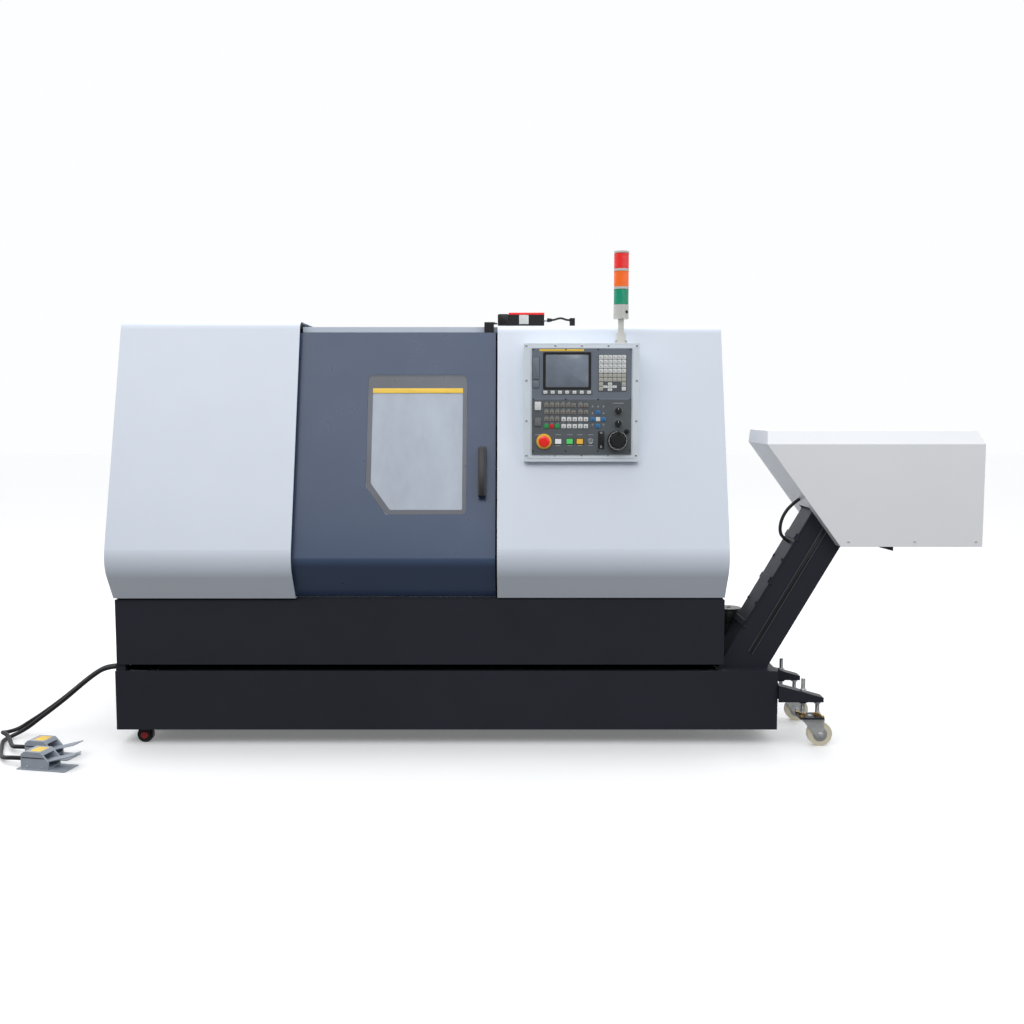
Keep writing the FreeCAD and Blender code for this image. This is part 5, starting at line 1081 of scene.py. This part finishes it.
def pedals():
    for name, x, y in (("front", -1.429, -1.186), ("rear", -1.476, -1.04)):
        base = move((x, y, 0)) @ turn(math.radians(-12), "Z")
        top = base @ move((-0.041, 0, 0.07))
        many(f"pedal_plate_{name}", "yellow", [
            (top @ move((0.008, 0, 0)), 0.046, 0.056, 0.0007, 0.002, 0.0002)])

        def seam(bm):
            for y_side in (-1, 1):
                m = base @ frame_at((-0.035, y_side * 0.041, 0.047), (-y_side, 0, 0), (0, 0, 1))
                pad(bm, m, 0.098, 0.0034, 0.0007, 0.0006, 0.0002)
            m = base @ frame_at((-0.088, 0, 0.047), (0, -1, 0), (0, 0, 1))
            pad(bm, m, 0.08, 0.0034, 0.0007, 0.0006, 0.0002)

        build(f"pedal_seam_{name}", "gasket", seam)

        def screws(bm):
            for sx, sy in ((-0.026, -0.031), (-0.026, 0.031), (0.032, -0.031), (0.032, 0.031)):
                cap_screw(bm, top @ move((sx, sy, 0)), 0.0034)
            for sx in (-0.06, 0.004):
                m = base @ frame_at((sx, -0.041, 0.014), (1, 0, 0), (0, 0, 1))
                cap_screw(bm, m, 0.0036)

        build(f"pedal_screws_{name}", "zinc", screws)

        def gland(bm):
            m = base @ frame_at((-0.088, 0, 0.03), (0, -1, 0), (0, 0, 1))
            lathe(bm, m, [(0.014, -0.0002), (0.014, 0.003), (0.013, 0.0034)], 6)
            lathe(bm, m, [(0.0126, 0.003), (0.0128, 0.01), (0.011, 0.015), (0.0092, 0.02),
                          (0.0087, 0.0215)], 28)

        build(f"pedal_gland_{name}", "gasket", gland)

        def treads(bm):
            lean, foot, hinge = math.atan2(0.018, 0.094) * 1.38, 0.037, 0.03
            for i in range(6):
                along = 0.05 + 0.013 * i
                z = foot + (along - hinge) * math.tan(lean)
                m = base @ move((along, 0, z)) @ turn(-lean, "Y")
                pad(bm, m, 0.003, 0.052, 0.0009, 0.0006, 0.0003)

        build(f"tread_ribs_{name}", "pedal", treads, "tread_" + name)


pedals()


# ---- back of the machine


def back_at(x, y, z):
    """A frame on a face that looks away from the operator."""
    return frame_at((x, y, z), (-1, 0, 0), (0, 0, 1))


def cabinet():
    face = max(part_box("cabinet_shell")[1].y, LEAF_FACE)

    tip = turn(math.radians(-14), "X")
    many("cabinet_louvres", "cabinet", [
        (back_at(x, face, 0.46 + 0.024 * i) @ tip, 0.17, 0.012, 0.0045, 0.004, 0.0016)
        for x in (-0.2, 0.4) for i in range(9)], "cabinet_leaf")

    def fan(bm):
        m = back_at(0.1, face, 1.52)
        lathe(bm, m, [(0.066, 0), (0.066, 0.004), (0.062, 0.006), (0.058, 0.006), (0.057, 0.002)], 56)
        for r in (0.048, 0.036, 0.024, 0.012):
            out, bore = r + 0.0016, r - 0.0016
            lathe(bm, m, [(out, 0.002), (out, 0.0048), (bore, 0.0048), (bore, 0.002)], 48)
        for i in range(4):
            pad(bm, m @ turn(math.pi * i / 4, "Z"), 0.0032, 0.118, 0.0042, 0.001, 0.0006)

    build("cabinet_fan", "black", fan, "cabinet_leaf")

    def isolator(bm):
        m = back_at(0.52, face, 1.25)
        pad(bm, m, 0.07, 0.07, 0.006, 0.006, 0.002)
        lathe(bm, lift(m, 0.006), [
            (0.026, 0), (0.026, 0.006), (0.024, 0.008), (TIP, 0.008)], 40)

    build("isolator_plate", "yellow", isolator, "cabinet_leaf")
    # the red lever glows: painted glow, it holds no lamp
    many("isolator_lever", "red", [(lift(back_at(0.52, face, 1.25), 0.0138), 0.012, 0.054,
                                    0.007, 0.004, 0.002)], "cabinet_leaf")

    spun("cabinet_locks", "ground", [back_at(0.575, face, z) for z in (0.62, 1.38)], [
        (0.015, 0), (0.015, 0.003), (0.0135, 0.0045), (0.007, 0.0045), (0.0065, 0.002),
        (TIP, 0.0018)], 36, "cabinet_leaf")


cabinet()


def hydraulics():
    axis = Vector((-1.122, 0.635, 0.422))

    def fins(bm):
        for i in range(26):
            angle = 2 * math.pi * i / 26
            if math.cos(angle) < -0.72:
                continue
            spin = move((-0.985, axis.y, axis.z)) @ turn(angle, "X") @ move((0, 0, 0.079))
            pad(bm, spin, 0.19, 0.0034, 0.0095, 0.001, 0.0008)
        box = frame_at((-0.985, axis.y, 0.5), (1, 0, 0), (0, 1, 0))
        pad(bm, box, 0.096, 0.074, 0.046, 0.006, 0.003)

    build("power_fins", "unit_blue", fins)

    def cowl(bm):
        m = frame_at(axis, (0, -1, 0), (0, 0, 1))
        lathe(bm, m, [(0.0805, -0.048), (0.0845, -0.046), (0.0845, -0.004), (0.08, 0.005), (0.062, 0.008),
                      (0.06, 0.004), (0.022, 0.004), (0.02, 0.008), (TIP, 0.008)], 56)
        for i in range(6):
            pad(bm, lift(m @ turn(math.pi * i / 6, "Z"), 0.0035), 0.0035, 0.122, 0.004, 0.001, 0.0006)

    build("power_cowl", "motor", cowl)

    many("power_lid", "unit_blue", [(move((-0.9, 0.635, 0.3298)), 0.572, 0.282, 0.0045, 0.008, 0.0012)])

    def bolts(bm):
        for x in (-1.168, -1.034, -0.9, -0.766, -0.632):
            for y in (0.51, 0.76):
                hex_bolt(bm, move((x, y, 0.334)), 0.006)
        for y in (0.59, 0.635, 0.68):
            m = frame_at((-0.65, y, 0.405), (0, 1, 0), (0, 0, 1))
            hex_bolt(bm, m, 0.011)
            lathe(bm, m, [(0.0075, 0.004), (0.0075, 0.02), (0.009, 0.022), (0.009, 0.03),
                          (TIP, 0.03)], 24)
        lathe(bm, move((-1.145, 0.545, 0.37)), [
            (0.027, -0.01), (0.028, -0.008), (0.028, 0.008), (0.0255, 0.011), (TIP, 0.0112)], 36)

    build("power_fittings", "zinc", bolts)

    def gauge(bm):
        m = back_at(-0.69, 0.685, 0.432)
        lathe(bm, m, [(0.03, 0), (0.03, 0.018), (0.0275, 0.021), (0.0262, 0.018), (TIP, 0.0178)], 40)
        sight = back_at(-0.7, 0.77, 0.19)
        pad(bm, sight, 0.034, 0.13, 0.009, 0.008, 0.002)

    build("power_gauge", "black", gauge)

    def glassy(bm):
        lathe(bm, back_at(-0.69, 0.7031, 0.432), [(0.0262, 0), (0.0262, 0.0005), (TIP, 0.0006)], 40)
        pad(bm, back_at(-0.7, 0.779, 0.19), 0.012, 0.092, 0.0016, 0.005, 0.0006)

    # the gauge face and sight window glow white: painted glow, they hold no lamp
    build("power_sight", "glow_white", glassy)


hydraulics()


def rear_skin():
    back = min(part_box(node)[1].y for node in ("headstock_cover", "tailstock_cover"))
    many("rear_seams", "white", [
        (back_at(x, back, 1.18), 0.046, 1.04, 0.0022, 0.002, 0.0008) for x in (-0.505, 0.7)])

    def screws(bm):
        for i in range(10):
            z = 0.7 + 0.106 * i
            for x in (-0.517, -0.493, 0.688, 0.712):
                cap_screw(bm, back_at(x, back + 0.0022, z), 0.0042)
        for x in (-1.2, -1.02, -0.84, -0.66, 0.85, 1.02, 1.2):
            for z in (0.645, 1.7):
                cap_screw(bm, back_at(x, back, z), 0.0048)

    build("rear_screws", "zinc", screws)
    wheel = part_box("tank_wheelset")
    centre = (wheel[0] + wheel[1]) / 2
    hub = front_at(centre.x, wheel[0].y + 0.004, 0.033)
    spun("roller_hub", "red_hub", [hub], [
        (0.015, -0.004), (0.015, 0.004), (0.0135, 0.0054), (0.007, 0.0056), (TIP, 0.0056)], 32,
         "tank_rollers")


rear_skin()
